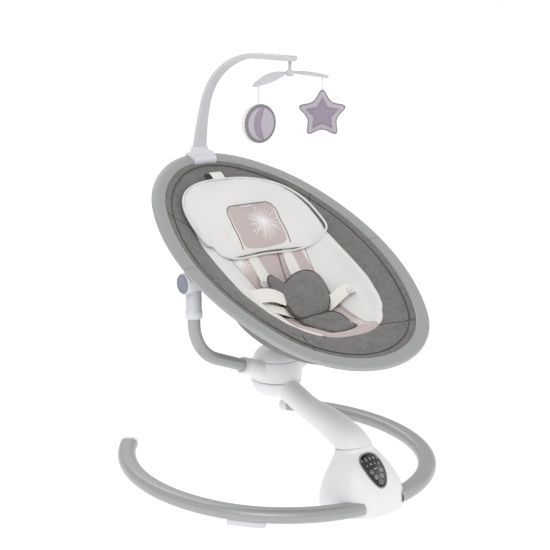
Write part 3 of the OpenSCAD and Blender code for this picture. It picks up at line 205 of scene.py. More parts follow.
def new_object(name: str, data: Optional[bpy.types.ID]) -> bpy.types.Object:
    """Makes an object from its data and links it into the scene."""
    made = bpy.data.objects.new(name, data)
    bpy.context.scene.collection.objects.link(made)
    return made


class Sculpt:
    """A mesh that is being built in millimetres in a local frame."""

    def __init__(self) -> None:
        """Starts with no points and no faces."""
        self.points: list[Point] = []
        self.faces: list[tuple[int, ...]] = []

    def add(self, points: Iterable[Point]) -> int:
        """Adds points and returns the index of the first."""
        first = len(self.points)
        self.points.extend(tuple(p) for p in points)
        return first

    def loft(self, rings: Sequence[Ring], closed: bool = True, caps: bool = True) -> "Sculpt":
        """Joins rings of equal count with a skin.

        Args:
            rings: The rings in order.
            closed: Whether each ring is a loop.
            caps: Whether the two ends are filled, each by a fan.

        Returns:
            This sculpt.
        """
        n = len(rings[0])
        first = self.add(p for ring in rings for p in ring)
        span = n if closed else n - 1
        for j in range(len(rings) - 1):
            for i in range(span):
                a, b = first + j * n + i, first + j * n + (i + 1) % n
                self.faces.append((a, b, b + n, a + n))
        if caps and closed:
            for j, flip in ((0, True), (len(rings) - 1, False)):
                middle = self.add([tuple(np.mean(rings[j], axis=0))])
                for i in range(n):
                    a, b = first + j * n + i, first + j * n + (i + 1) % n
                    self.faces.append((middle, b, a) if flip else (middle, a, b))
        return self

    def sheet(self, rows: Sequence[Sequence[Point]]) -> "Sculpt":
        """Adds an open grid of points."""
        return self.loft([list(row) for row in rows], closed=False, caps=False)

    def revolve(self, profile: Sequence[tuple[float, float]], sides: int = 96) -> "Sculpt":
        """Turns a profile of (radius, height) about the local Z axis, poles closed by caps."""
        rings = [
            [(r * cos_deg(360 * i / sides), r * sin_deg(360 * i / sides), z) for i in range(sides)]
            for r, z in profile
        ]
        return self.loft(rings)

    def tube(
        self, line: Sequence[Sequence[float]], radius: float, sides: int = 12, loop: bool = False
    ) -> "Sculpt":
        """Sweeps a round section along a line of points.

        Args:
            line: The middle line.
            radius: Radius of the section.
            sides: Sides of the section.
            loop: Whether the line closes on itself.

        Returns:
            This sculpt.
        """
        pts = [Vector(p) for p in line]
        count = len(pts)
        rings: list[Ring] = []
        side: Optional[Vector] = None
        for i, p in enumerate(pts):
            ahead = pts[(i + 1) % count] if loop or i < count - 1 else p
            behind = pts[i - 1] if loop or i > 0 else p
            way = (ahead - behind).normalized()
            if side is None:
                side = way.orthogonal().normalized()
            side = (side - way * side.dot(way)).normalized()
            up = way.cross(side)
            rings.append(
                [
                    tuple(p + radius * (cos_deg(360 * k / sides) * side + sin_deg(360 * k / sides) * up))
                    for k in range(sides)
                ]
            )
        if loop:
            rings.append(rings[0])
        return self.loft(rings, caps=not loop)

    def build(
        self,
        name: str,
        place: Matrix,
        finish: bpy.types.Material,
        weld: float = 1e-4,
        uv: Optional[Callable[[Point], tuple[float, float]]] = None,
    ) -> bpy.types.Object:
        """Makes the Blender object.

        Args:
            name: Name of the piece.
            place: The local frame, in millimetres, within the part's frame.
            finish: Its material.
            weld: Points closer than this, in millimetres, become one.
            uv: Gives each local point its place on the flat cloth, in millimetres.

        Returns:
            The object, with its mesh in the part's frame.
        """
        mesh = bpy.data.meshes.new(name)
        mesh.from_pydata(self.points, [], self.faces)
        shape = bmesh.new()
        shape.from_mesh(mesh)
        bmesh.ops.remove_doubles(shape, verts=shape.verts, dist=weld)
        bmesh.ops.recalc_face_normals(shape, faces=shape.faces)
        if uv is not None:
            layer = shape.loops.layers.uv.new("cloth")
            for face in shape.faces:
                for loop in face.loops:
                    loop[layer].uv = tuple(MM * c for c in uv(tuple(loop.vert.co)))
        shape.to_mesh(mesh)
        shape.free()
        mesh.transform(Matrix.Scale(MM, 4) @ place)
        mesh.polygons.foreach_set("use_smooth", [True] * len(mesh.polygons))
        mesh.materials.append(finish)
        return new_object(name, mesh)


class Tools:
    """Work on finished meshes: modifiers, blending and inflating."""

    sideways: float = 0.15
    frames: int = 20

    @staticmethod
    def apply(thing: bpy.types.Object) -> bpy.types.Object:
        """Applies all modifiers of an object to its mesh."""
        graph = bpy.context.evaluated_depsgraph_get()
        shaped = bpy.data.meshes.new_from_object(thing.evaluated_get(graph))
        old = thing.data
        thing.modifiers.clear()
        thing.data = shaped
        bpy.data.meshes.remove(old)
        return thing

    @staticmethod
    def smooth_faces(thing: bpy.types.Object) -> bpy.types.Object:
        """Shades all faces of an object smoothly."""
        thing.data.polygons.foreach_set("use_smooth", [True] * len(thing.data.polygons))
        return thing

    @classmethod
    def subdivide(cls, thing: bpy.types.Object) -> bpy.types.Object:
        """Rounds an object by subdivision."""
        modifier = thing.modifiers.new("rounding", "SUBSURF")
        modifier.levels = 1
        return cls.smooth_faces(cls.apply(thing))

    @classmethod
    def bevel(
        cls, thing: bpy.types.Object, width: float, segments: int = 3, angle: float = 40
    ) -> bpy.types.Object:
        """Rounds the sharp edges of an object.

        Args:
            thing: The object.
            width: Width of the rounding, in millimetres.
            segments: Facets in the rounding.
            angle: Edges sharper than this are rounded.

        Returns:
            The object.
        """
        modifier = thing.modifiers.new("edges", "BEVEL")
        modifier.width, modifier.segments = width * MM, segments
        modifier.limit_method, modifier.angle_limit = "ANGLE", math.radians(angle)
        return cls.smooth_faces(cls.apply(thing))

    @classmethod
    def melt(cls, thing: bpy.types.Object, voxel: float, rounds: int) -> bpy.types.Object:
        """Fuses touching solids into one skin whose inner corners are filleted.

        Args:
            thing: One object that holds all the solids.
            voxel: Size of the remeshing, in millimetres.
            rounds: Rounds of smoothing.

        Returns:
            The object.
        """
        remesh = thing.modifiers.new("fuse", "REMESH")
        remesh.mode, remesh.voxel_size = "VOXEL", voxel * MM
        relax = thing.modifiers.new("relax", "SMOOTH")
        relax.factor, relax.iterations = 0.5, rounds
        return cls.smooth_faces(cls.apply(thing))

    @classmethod
    def inflate(cls, thing: bpy.types.Object, voxel: float, pressure: float, cap: float) -> bpy.types.Object:
        """Blows a closed cloth form up a little, the way its filling does.

        Args:
            thing: The closed form.
            voxel: Size of the remeshing, in millimetres, or zero to keep the mesh.
            pressure: Pressure of the filling.
            cap: The furthest that a point may move, in millimetres.

        Returns:
            The object with the simulated shape in its mesh.
        """
        if voxel > 0:
            remesh = thing.modifiers.new("cloth_mesh", "REMESH")
            remesh.mode, remesh.voxel_size = "VOXEL", voxel * MM
            cls.apply(thing)
        count = len(thing.data.vertices)
        rest = np.zeros(count * 3, np.float32)
        thing.data.vertices.foreach_get("co", rest)
        cloth = thing.modifiers.new("filling", "CLOTH")
        cloth.settings.quality = 4
        cloth.settings.use_pressure = True
        cloth.settings.uniform_pressure_force = pressure
        cloth.settings.effector_weights.gravity = 0
        cloth.settings.tension_stiffness = 20
        cloth.settings.bending_stiffness = 0.6
        cloth.point_cache.frame_start, cloth.point_cache.frame_end = 1, cls.frames
        scene = bpy.context.scene
        for number in range(1, cls.frames + 1):
            scene.frame_set(number)
        graph = bpy.context.evaluated_depsgraph_get()
        blown = np.zeros(count * 3, np.float32)
        thing.evaluated_get(graph).data.vertices.foreach_get("co", blown)
        thing.modifiers.clear()
        scene.frame_set(1)
        move = (blown - rest).reshape(-1, 3)
        size = np.linalg.norm(move, axis=1, keepdims=True)
        move *= np.minimum(1, cap * MM / np.maximum(size, 1e-9))
        across = np.array(PLACES.ring().to_3x3().normalized() @ Vector((0, 0, 1)))
        lifted = (move @ across)[:, None] * across
        move = lifted + cls.sideways * (move - lifted)
        thing.data.vertices.foreach_set("co", (rest.reshape(-1, 3) + move).ravel())
        thing.data.update()
        relax = thing.modifiers.new("relax", "SMOOTH")
        relax.factor, relax.iterations = 0.5, 3
        cls.apply(thing)
        return cls.subdivide(thing)

    @staticmethod
    def lay_flat(
        thing: bpy.types.Object, place: Matrix, uv: Callable[[Vector], tuple[float, float]]
    ) -> bpy.types.Object:
        """Gives a finished cloth mesh its flat coordinates.

        Args:
            thing: The object.
            place: Its local frame, in millimetres.
            uv: Gives each local point its place on the flat cloth, in millimetres.

        Returns:
            The object.
        """
        back = (Matrix.Scale(MM, 4) @ place).inverted()
        flat = [uv(back @ v.co) for v in thing.data.vertices]
        layer = thing.data.uv_layers.get("cloth") or thing.data.uv_layers.new(name="cloth")
        for loop in thing.data.loops:
            u, v = flat[loop.vertex_index]
            layer.data[loop.index].uv = (u * MM, v * MM)
        return thing

    @staticmethod
    def join(name: str, things: Sequence[bpy.types.Object]) -> bpy.types.Object:
        """Joins objects into the first one and names it."""
        shape = bmesh.new()
        for thing in things:
            shape.from_mesh(thing.data)
        mesh = bpy.data.meshes.new(name)
        shape.to_mesh(mesh)
        shape.free()
        for material in things[0].data.materials:
            mesh.materials.append(material)
        joined = new_object(name, mesh)
        for thing in things:
            old = thing.data
            bpy.data.objects.remove(thing)
            bpy.data.meshes.remove(old)
        return Tools.smooth_faces(joined)


def surface_tree(thing: bpy.types.Object, place: Matrix) -> BVHTree:
    """Returns a search tree of a piece's surface, in millimetres in a local frame."""
    back = (Matrix.Scale(MM, 4) @ place).inverted()
    return BVHTree.FromPolygons(
        [back @ v.co for v in thing.data.vertices], [tuple(p.vertices) for p in thing.data.polygons]
    )


def settle(
    thing: bpy.types.Object,
    body: str,
    stands_for: Sequence[str] = (),
) -> bpy.types.Object:
    """Fixes a finished piece to its body and reports it.

    Args:
        thing: The piece.
        body: The construction body that it moves with.
        stands_for: Construction nodes that it is shown in place of.

    Returns:
        The piece.
    """
    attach(thing, body)
    if stands_for:
        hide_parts(*stands_for)
    log.info("%s rides on %s with %d faces", thing.name, body, len(thing.data.polygons))
    return thing


def srgb(r: float, g: float, b: float) -> tuple[float, float, float, float]:
    """Turns a colour as seen on a screen, 0 to 255, into the linear one that a shader takes."""
    return tuple(
        (c / 255 / 12.92 if c / 255 <= 0.04045 else ((c / 255 + 0.055) / 1.055) ** 2.4)
        for c in (r, g, b)
    ) + (1.0,)


def dress(nodes: dict[str, bpy.types.Object], finishes: dict[str, bpy.types.Material]) -> None:
    """Gives construction nodes that stay in view their finishes."""
    for name, finish in finishes.items():
        nodes[name].data.materials.clear()
        nodes[name].data.materials.append(finish)
        log.info("%s dressed in %s", name, finish.name)


def shade(colour: Sequence[float], share: float) -> tuple[float, ...]:
    """Returns a linear colour made darker or lighter, never past white."""
    return tuple(min(1.0, share * v) for v in colour[:3]) + (1.0,)


Value = float | bpy.types.NodeSocket


class Graph:
    """A node tree that is being wired."""

    def __init__(self, tree: bpy.types.NodeTree) -> None:
        """Takes the tree to work on."""
        self.tree = tree

    def feed(self, socket: bpy.types.NodeSocket, value: object) -> None:
        """Links a socket to another one, or sets it."""
        if isinstance(value, bpy.types.NodeSocket):
            self.tree.links.new(value, socket)
        else:
            socket.default_value = value

    def node(self, kind: str, **inputs: object) -> bpy.types.Node:
        """Adds a node.

        Args:
            kind: The node's type.
            inputs: Properties by name, and socket values or links by the socket's name with
                underscores for spaces.

        Returns:
            The node.
        """
        made = self.tree.nodes.new(kind)
        for name, value in inputs.items():
            if hasattr(made, name) and name != "Scale":
                setattr(made, name, value)
                continue
            self.feed(made.inputs[name.replace("_", " ")], value)
        return made

    def math(self, operation: str, *values: Value, clamp: bool = False) -> bpy.types.NodeSocket:
        """Adds a math node and returns its result."""
        made = self.tree.nodes.new("ShaderNodeMath")
        made.operation, made.use_clamp = operation, clamp
        for socket, value in zip(made.inputs, values):
            self.feed(socket, value)
        return made.outputs[0]

    def blend(self, share: Value, first: object, second: object) -> bpy.types.NodeSocket:
        """Mixes two colours by a share and returns the colour."""
        made = self.tree.nodes.new("ShaderNodeMix")
        made.data_type = "RGBA"
        for socket, value in ((made.inputs[0], share), (made.inputs[6], first), (made.inputs[7], second)):
            self.feed(socket, value)
        return made.outputs[2]

    def spread(
        self, value: bpy.types.NodeSocket, low: float, high: float, to_low: float = 0.0, to_high: float = 1.0
    ) -> bpy.types.NodeSocket:
        """Stretches a value from one range to another, clamped, and returns it."""
        made = self.tree.nodes.new("ShaderNodeMapRange")
        self.tree.links.new(value, made.inputs[0])
        for socket, number in zip(list(made.inputs)[1:5], (low, high, to_low, to_high)):
            socket.default_value = number
        return made.outputs[0]

    def scaled(self, vector: bpy.types.NodeSocket, sizes: Point) -> bpy.types.NodeSocket:
        """Multiplies a vector by three sizes and returns it."""
        made = self.tree.nodes.new("ShaderNodeVectorMath")
        made.operation = "MULTIPLY"
        self.tree.links.new(vector, made.inputs[0])
        made.inputs[1].default_value = sizes
        return made.outputs[0]

    def noise(
        self, vector: bpy.types.NodeSocket, scale: Value, detail: float = 3, rough: float = 0.55
    ) -> bpy.types.NodeSocket:
        """Adds a noise and returns its value."""
        return self.node(
            "ShaderNodeTexNoise", Vector=vector, Scale=scale, Detail=float(detail), Roughness=rough
        ).outputs[0]


class Effects:
    """Surface effects that several finishes share, each built once as a node group."""

    @staticmethod
    def _group(
        name: str, inputs: Sequence[tuple[str, str, object]], outputs: Sequence[tuple[str, str]]
    ) -> tuple[bpy.types.NodeTree, Graph, bpy.types.Node, bpy.types.Node]:
        """Opens a new group.

        Args:
            name: Name of the group.
            inputs: Name, socket type and default of each input.
            outputs: Name and socket type of each output.

        Returns:
            The tree, its graph, and its input and output nodes.
        """
        tree = bpy.data.node_groups.new(name, "ShaderNodeTree")
        for label, kind, value in inputs:
            socket = tree.interface.new_socket(label, in_out="INPUT", socket_type=kind)
            if value is not None:
                socket.default_value = value
        for label, kind in outputs:
            tree.interface.new_socket(label, in_out="OUTPUT", socket_type=kind)
        graph = Graph(tree)
        return tree, graph, tree.nodes.new("NodeGroupInput"), tree.nodes.new("NodeGroupOutput")

    @classmethod
    @cache
    def moulding(cls) -> bpy.types.NodeTree:
        """Fine spark-eroded grain with a slow cloudiness, for moulded plastic and paint."""
        tree, g, given, out = cls._group(
            "MouldingGrain",
            [("Vector", "NodeSocketVector", None), ("Scale", "NodeSocketFloat", 900.0)],
            [("Height", "NodeSocketFloat"), ("Cloud", "NodeSocketFloat")],
        )
        fine = g.noise(given.outputs["Vector"], given.outputs["Scale"], 2, 0.6)
        slow = g.noise(given.outputs["Vector"], 14.0, 3, 0.5)
        tree.links.new(fine, out.inputs["Height"])
        tree.links.new(g.spread(slow, 0.3, 0.7), out.inputs["Cloud"])
        return tree

    @classmethod
    @cache
    def heather(cls) -> bpy.types.NodeTree:
        """Light and dark yarns of a heathered knit, with the height of its stitches."""
        tree, g, given, out = cls._group(
            "HeatherKnit",
            [("Vector", "NodeSocketVector", None), ("Stitch", "NodeSocketFloat", 520.0)],
            [("Yarn", "NodeSocketFloat"), ("Height", "NodeSocketFloat")],
        )
        v = given.outputs["Vector"]
        along = g.noise(g.scaled(v, (260.0, 900.0, 900.0)), 1.0, 3, 0.7)
        across = g.noise(g.scaled(v, (1000.0, 330.0, 330.0)), 1.0, 3, 0.7)
        slow = g.noise(v, 60.0, 2, 0.5)
        yarn = g.math("ADD", g.math("MULTIPLY", along, 0.55), g.math("MULTIPLY", across, 0.45))
        yarn = g.math("ADD", yarn, g.math("MULTIPLY", g.math("SUBTRACT", slow, 0.5), 0.12))
        stitch = g.node("ShaderNodeTexVoronoi", Vector=v, Scale=given.outputs["Stitch"]).outputs[0]
        tree.links.new(g.spread(yarn, 0.38, 0.64), out.inputs["Yarn"])
        tree.links.new(g.math("ADD", stitch, g.math("MULTIPLY", along, 0.6)), out.inputs["Height"])
        return tree

    @classmethod
    @cache
    def weave(cls) -> bpy.types.NodeTree:
        """Over and under threads of a plain woven cloth."""
        tree, g, given, out = cls._group(
            "PlainWeave",
            [("Vector", "NodeSocketVector", None), ("Threads", "NodeSocketFloat", 4200.0)],
            [("Height", "NodeSocketFloat"), ("Slub", "NodeSocketFloat")],
        )
        parts = g.node("ShaderNodeSeparateXYZ", Vector=given.outputs["Vector"]).outputs
        waves = [g.math("SINE", g.math("MULTIPLY", parts[k], given.outputs["Threads"])) for k in range(3)]
        over = g.math("MULTIPLY", waves[0], g.math("ADD", waves[1], waves[2]))
        slub = g.noise(given.outputs["Vector"], 240.0, 3, 0.6)
        tree.links.new(g.math("ADD", g.math("MULTIPLY", over, 0.25), slub), out.inputs["Height"])
        tree.links.new(g.spread(slub, 0.3, 0.7), out.inputs["Slub"])
        return tree

    @classmethod
    @cache
    def burst(cls) -> bpy.types.NodeTree:
        """A burst of thin rays round a centre on the flat cloth, ends fading out."""
        tree, g, given, out = cls._group(
            "RayBurst",
            [
                ("Vector", "NodeSocketVector", None),
                ("Centre", "NodeSocketVector", (0.0, 0.0, 0.0)),
                ("Radius", "NodeSocketFloat", 0.04),
                ("Rays", "NodeSocketFloat", 30.0),
            ],
            [("Mask", "NodeSocketFloat")],
        )
        away = g.node("ShaderNodeVectorMath", operation="SUBTRACT")
        tree.links.new(given.outputs["Vector"], away.inputs[0])
        tree.links.new(given.outputs["Centre"], away.inputs[1])
        parts = g.node("ShaderNodeSeparateXYZ", Vector=away.outputs[0]).outputs
        far = g.math(
            "SQRT",
            g.math("ADD", g.math("MULTIPLY", parts[0], parts[0]), g.math("MULTIPLY", parts[1], parts[1])),
        )
        angle = g.math("ADD", g.math("DIVIDE", g.math("ARCTAN2", parts[1], parts[0]), 2 * math.pi), 0.5)
        share = g.math("DIVIDE", far, given.outputs["Radius"])
        masks = []
        for offset, reach in ((0.0, 1.0), (0.37, 0.74), (0.71, 0.5)):
            turn = g.math("MULTIPLY", g.math("ADD", angle, offset / 40), given.outputs["Rays"])
            cell = g.math("FLOOR", turn)
            jitter = g.node(
                "ShaderNodeTexWhiteNoise", noise_dimensions="1D", W=g.math("ADD", cell, 7 * offset)
            ).outputs[0]
            middle = g.math("ADD", 0.5, g.math("MULTIPLY", g.math("SUBTRACT", jitter, 0.5), 0.5))
            off = g.math("ABSOLUTE", g.math("SUBTRACT", g.math("FRACT", turn), middle))
            wide = g.math("ADD", 0.10, g.math("DIVIDE", 0.035, g.math("MAXIMUM", share, 0.05)))
            line = g.math("SUBTRACT", 1.0, g.math("DIVIDE", off, wide), clamp=True)
            end = g.math("MULTIPLY", g.math("ADD", 0.62, g.math("MULTIPLY", jitter, 0.38)), reach)
            fade = g.math("MULTIPLY", g.math("SUBTRACT", end, share), 7.0, clamp=True)
            masks.append(g.math("MULTIPLY", line, fade))
        mask = g.math("MAXIMUM", masks[0], g.math("MAXIMUM", masks[1], masks[2]))
        tree.links.new(mask, out.inputs["Mask"])
        return tree


class Coat:
    """What every finish starts from: a Principled surface with a Bump before it."""

    def __init__(self, name: str) -> None:
        """Makes the material with its surface, output and place-in-the-part coordinates."""
        self.material = bpy.data.materials.new(name)
        self.material.use_nodes = True
        tree = self.material.node_tree
        self.graph = Graph(tree)
        self.surface = tree.nodes["Principled BSDF"]
        self.where = tree.nodes.new("ShaderNodeTexCoord").outputs["Object"]

    def put(self, **values: object) -> None:
        """Sets or links sockets of the surface, named with underscores for spaces."""
        for name, value in values.items():
            self.graph.feed(self.surface.inputs[name.replace("_", " ")], value)

    def effect(self, group: bpy.types.NodeTree, **values: object) -> bpy.types.Node:
        """Places a shared effect with its own values."""
        made = self.graph.tree.nodes.new("ShaderNodeGroup")
        made.node_tree = group
        for name, value in values.items():
            self.graph.feed(made.inputs[name], value)
        return made

    def bump(self, height: bpy.types.NodeSocket, strength: float, depth: float) -> None:
        """Adds relief of a depth in metres."""
        made = self.graph.tree.nodes.new("ShaderNodeBump")
        made.inputs["Strength"].default_value = strength
        made.inputs["Distance"].default_value = depth
        self.graph.tree.links.new(height, made.inputs["Height"])
        self.put(Normal=made.outputs[0])


@dataclass(frozen=True)
class Plastic:
    """Moulded plastic or rubber."""

    name: str
    colour: tuple[float, float, float]
    gloss: float = 0.42
    grain: float = 0.12
    coat: float = 0.0

    def make(self) -> bpy.types.Material:
        """Returns the material."""
        c = Coat(self.name)
        grain = c.effect(Effects.moulding(), Vector=c.where, Scale=1400.0)
        base = srgb(*self.colour)
        c.put(
            Base_Color=c.graph.blend(grain.outputs["Cloud"], shade(base, 0.955), base),
            Roughness=c.graph.spread(grain.outputs["Cloud"], 0, 1, self.gloss - 0.03, self.gloss + 0.05),
        )
        c.put(Coat_Weight=self.coat, Coat_Roughness=0.08)
        c.bump(grain.outputs["Height"], self.grain, 0.00012)
        return c.material


@dataclass(frozen=True)
class Metal:
    """Painted or bare metal."""

    name: str
    colour: tuple[float, float, float]
    metallic: float = 0.35
    gloss: float = 0.38
    flake: float = 0.06

    def make(self) -> bpy.types.Material:
        """Returns the material."""
        c = Coat(self.name)
        grain = c.effect(Effects.moulding(), Vector=c.where, Scale=2600.0)
        base = srgb(*self.colour)
        light, dark = shade(base, 1 + self.flake), shade(base, 1 - self.flake)
        c.put(
            Base_Color=c.graph.blend(grain.outputs["Height"], dark, light),
            Roughness=c.graph.spread(grain.outputs["Cloud"], 0, 1, self.gloss - 0.04, self.gloss + 0.04),
        )
        c.put(Metallic=self.metallic)
        c.bump(grain.outputs["Height"], 0.05, 0.0001)
        return c.material


@dataclass(frozen=True)
class HeatherCloth:
    """Heathered knit in two yarns."""

    name: str
    light: tuple[float, float, float]
    dark: tuple[float, float, float]
    relief: float = 0.5

    def make(self) -> bpy.types.Material:
        """Returns the material."""
        c = Coat(self.name)
        knit = c.effect(Effects.heather(), Vector=c.where, Stitch=560.0)
        c.put(Base_Color=c.graph.blend(knit.outputs["Yarn"], srgb(*self.dark), srgb(*self.light)))
        c.put(Roughness=0.95, Sheen_Weight=0.15, Sheen_Roughness=0.5, Specular_IOR_Level=0.2)
        c.bump(knit.outputs["Height"], self.relief, 0.0005)
        return c.material


@dataclass(frozen=True)
class PlainCloth:
    """Plain woven cotton, satin or webbing in one colour."""

    name: str
    colour: tuple[float, float, float]
    threads: float = 4200.0
    relief: float = 0.25
    gloss: float = 0.85
    sheen: float = 0.1

    def make(self) -> bpy.types.Material:
        """Returns the material."""
        c = Coat(self.name)
        weave = c.effect(Effects.weave(), Vector=c.where, Threads=self.threads)
        base = srgb(*self.colour)
        c.put(Base_Color=c.graph.blend(weave.outputs["Slub"], shade(base, 0.93), base))
        c.put(Roughness=self.gloss, Sheen_Weight=self.sheen, Specular_IOR_Level=0.25)
        c.bump(weave.outputs["Height"], self.relief, 0.0004)
        return c.material


@dataclass(frozen=True)
class PrintedCotton:
    """White cotton with a dusty pink middle panel and bursts of rays printed on it.

    The panel is bounded on the flat cloth by two sides that lean in towards the foot.
    """

    name: str
    white: tuple[float, float, float] = (236, 235, 233)
    pink: tuple[float, float, float] = (203, 189, 187)
    bright: tuple[float, float, float] = (247, 246, 246)
    top_half: float = 0.098
    foot_half: float = 0.070
    top_y: float = 0.30
    foot_y: float = -0.236
    bursts: tuple[tuple[float, float, float], ...] = ((-0.075, 0.045, 0.042), (0.08, -0.19, 0.04))
    corner: float = 0.0

    def make(self) -> bpy.types.Material:
        """Returns the material."""
        c = Coat(self.name)
        g = c.graph
        flat = g.node("ShaderNodeUVMap", uv_map="cloth").outputs[0]
        parts = g.node("ShaderNodeSeparateXYZ", Vector=flat).outputs
        x, y = parts[0], parts[1]
        lean = (self.top_half - self.foot_half) / (self.top_y - self.foot_y)
        half = g.math("ADD", g.math("MULTIPLY", g.math("SUBTRACT", y, self.foot_y), lean), self.foot_half)
        inside = g.math("SUBTRACT", half, g.math("ABSOLUTE", x))
        below = g.math("SUBTRACT", self.top_y, y)
        above = g.math("SUBTRACT", y, self.foot_y)
        edge = g.math("SMOOTH_MIN", inside, g.math("SMOOTH_MIN", below, above, self.corner), self.corner)
        panel = g.math("MULTIPLY", edge, 1600.0, clamp=True)
        mask: bpy.types.NodeSocket | float = 0.0
        for bx, by, size in self.bursts:
            rays = c.effect(Effects.burst(), Vector=flat, Centre=(bx, by, 0.0), Radius=size, Rays=34.0)
            mask = g.math("MAXIMUM", mask, rays.outputs["Mask"])
        weave = c.effect(Effects.weave(), Vector=c.where, Threads=4600.0)
        pink = g.blend(g.math("MULTIPLY", mask, 1.25, clamp=True), srgb(*self.pink), srgb(*self.bright))
        cloth = g.blend(panel, srgb(*self.white), pink)
        thin = shade(srgb(*self.white), 0.95)
        c.put(Base_Color=self.graph_tint(g, cloth, weave.outputs["Slub"], thin))
        c.put(Roughness=0.9, Sheen_Weight=0.12, Specular_IOR_Level=0.2)
        c.bump(weave.outputs["Height"], 0.22, 0.0004)
        return c.material

    @staticmethod
    def graph_tint(
        g: Graph, cloth: bpy.types.NodeSocket, slub: bpy.types.NodeSocket, thin: tuple
    ) -> bpy.types.NodeSocket:
        """Darkens the cloth a little where its threads are thin.

        Args:
            g: The graph.
            cloth: The cloth's colour.
            slub: How thick the threads are.
            thin: A slightly darker cloth.

        Returns:
            The colour.
        """
        made = g.tree.nodes.new("ShaderNodeMix")
        made.data_type, made.blend_type = "RGBA", "MULTIPLY"
        g.tree.links.new(g.spread(slub, 0, 1, 0.10, 0.0), made.inputs[0])
        g.tree.links.new(cloth, made.inputs[6])
        made.inputs[7].default_value = thin
        return made.outputs[2]


class Finishes:
    """Every finish of the swing, made once."""

    def __init__(self) -> None:
        """Makes all materials."""
        self.tube = Metal("satin_silver_paint", (171, 173, 172), 0.3, 0.34, 0.04).make()
        self.steel = Metal("zinc_steel", (150, 152, 155), 0.9, 0.34, 0.04).make()
        self.copper = Metal("copper_winding", (170, 104, 66), 0.9, 0.4, 0.1).make()
        self.magnet = Metal("sintered_magnet", (104, 105, 110), 0.6, 0.5, 0.08).make()
        self.shell = Plastic("satin_white_shell", (240, 240, 243), 0.34, 0.0).make()
        self.pale = Plastic("pale_grey_plastic", (222, 223, 228), 0.38, 0.0).make()
        self.arch = Plastic("dove_grey_plastic", (208, 206, 210), 0.42, 0.0).make()
        self.bezel = Plastic("grey_bezel", (150, 151, 156), 0.34, 0.08).make()
        self.button = Plastic("blue_grey_button", (131, 137, 148), 0.45, 0.12).make()
        self.gloss = Plastic("black_gloss", (22, 22, 25), 0.12, 0.0, 0.6).make()
        self.dark = Plastic("dark_plastic", (42, 42, 45), 0.45, 0.12).make()
        self.board = Plastic("circuit_green", (40, 96, 62), 0.5, 0.1).make()
        self.legend = Plastic("white_legend", (225, 226, 228), 0.6, 0.0).make()
        self.knit = HeatherCloth("grey_heather", (150, 149, 146), (90, 89, 87)).make()
        self.binding = HeatherCloth("dark_binding", (98, 97, 95), (66, 65, 64), 0.4).make()
        self.liner = PrintedCotton("printed_liner").make()
        self.pillow = PrintedCotton(
            "printed_pillow",
            top_half=0.056,
            foot_half=0.056,
            top_y=0.160,
            foot_y=0.068,
            bursts=((0.017, 0.117, 0.047),),
            corner=0.02,
        ).make()
        self.cotton = PlainCloth("white_cotton", (236, 235, 233)).make()
        self.satin = PlainCloth("ivory_webbing", (243, 240, 234), 3600.0, 0.12, 0.3, 0.1).make()
        self.seam = PlainCloth("grey_piping", (128, 116, 116), 5200.0, 0.3).make()
        self.string = PlainCloth("toy_string", (228, 226, 228), 9000.0, 0.1).make()
        self.lilac = PlainCloth("lilac_plush", (192, 184, 194), 3000.0, 0.2, 0.95, 0.1).make()
        self.mauve = PlainCloth("mauve_felt", (160, 148, 166), 3000.0, 0.2, 0.95, 0.1).make()
        self.felt = PlainCloth("grey_felt", (140, 138, 145), 3000.0, 0.2, 0.95, 0.1).make()


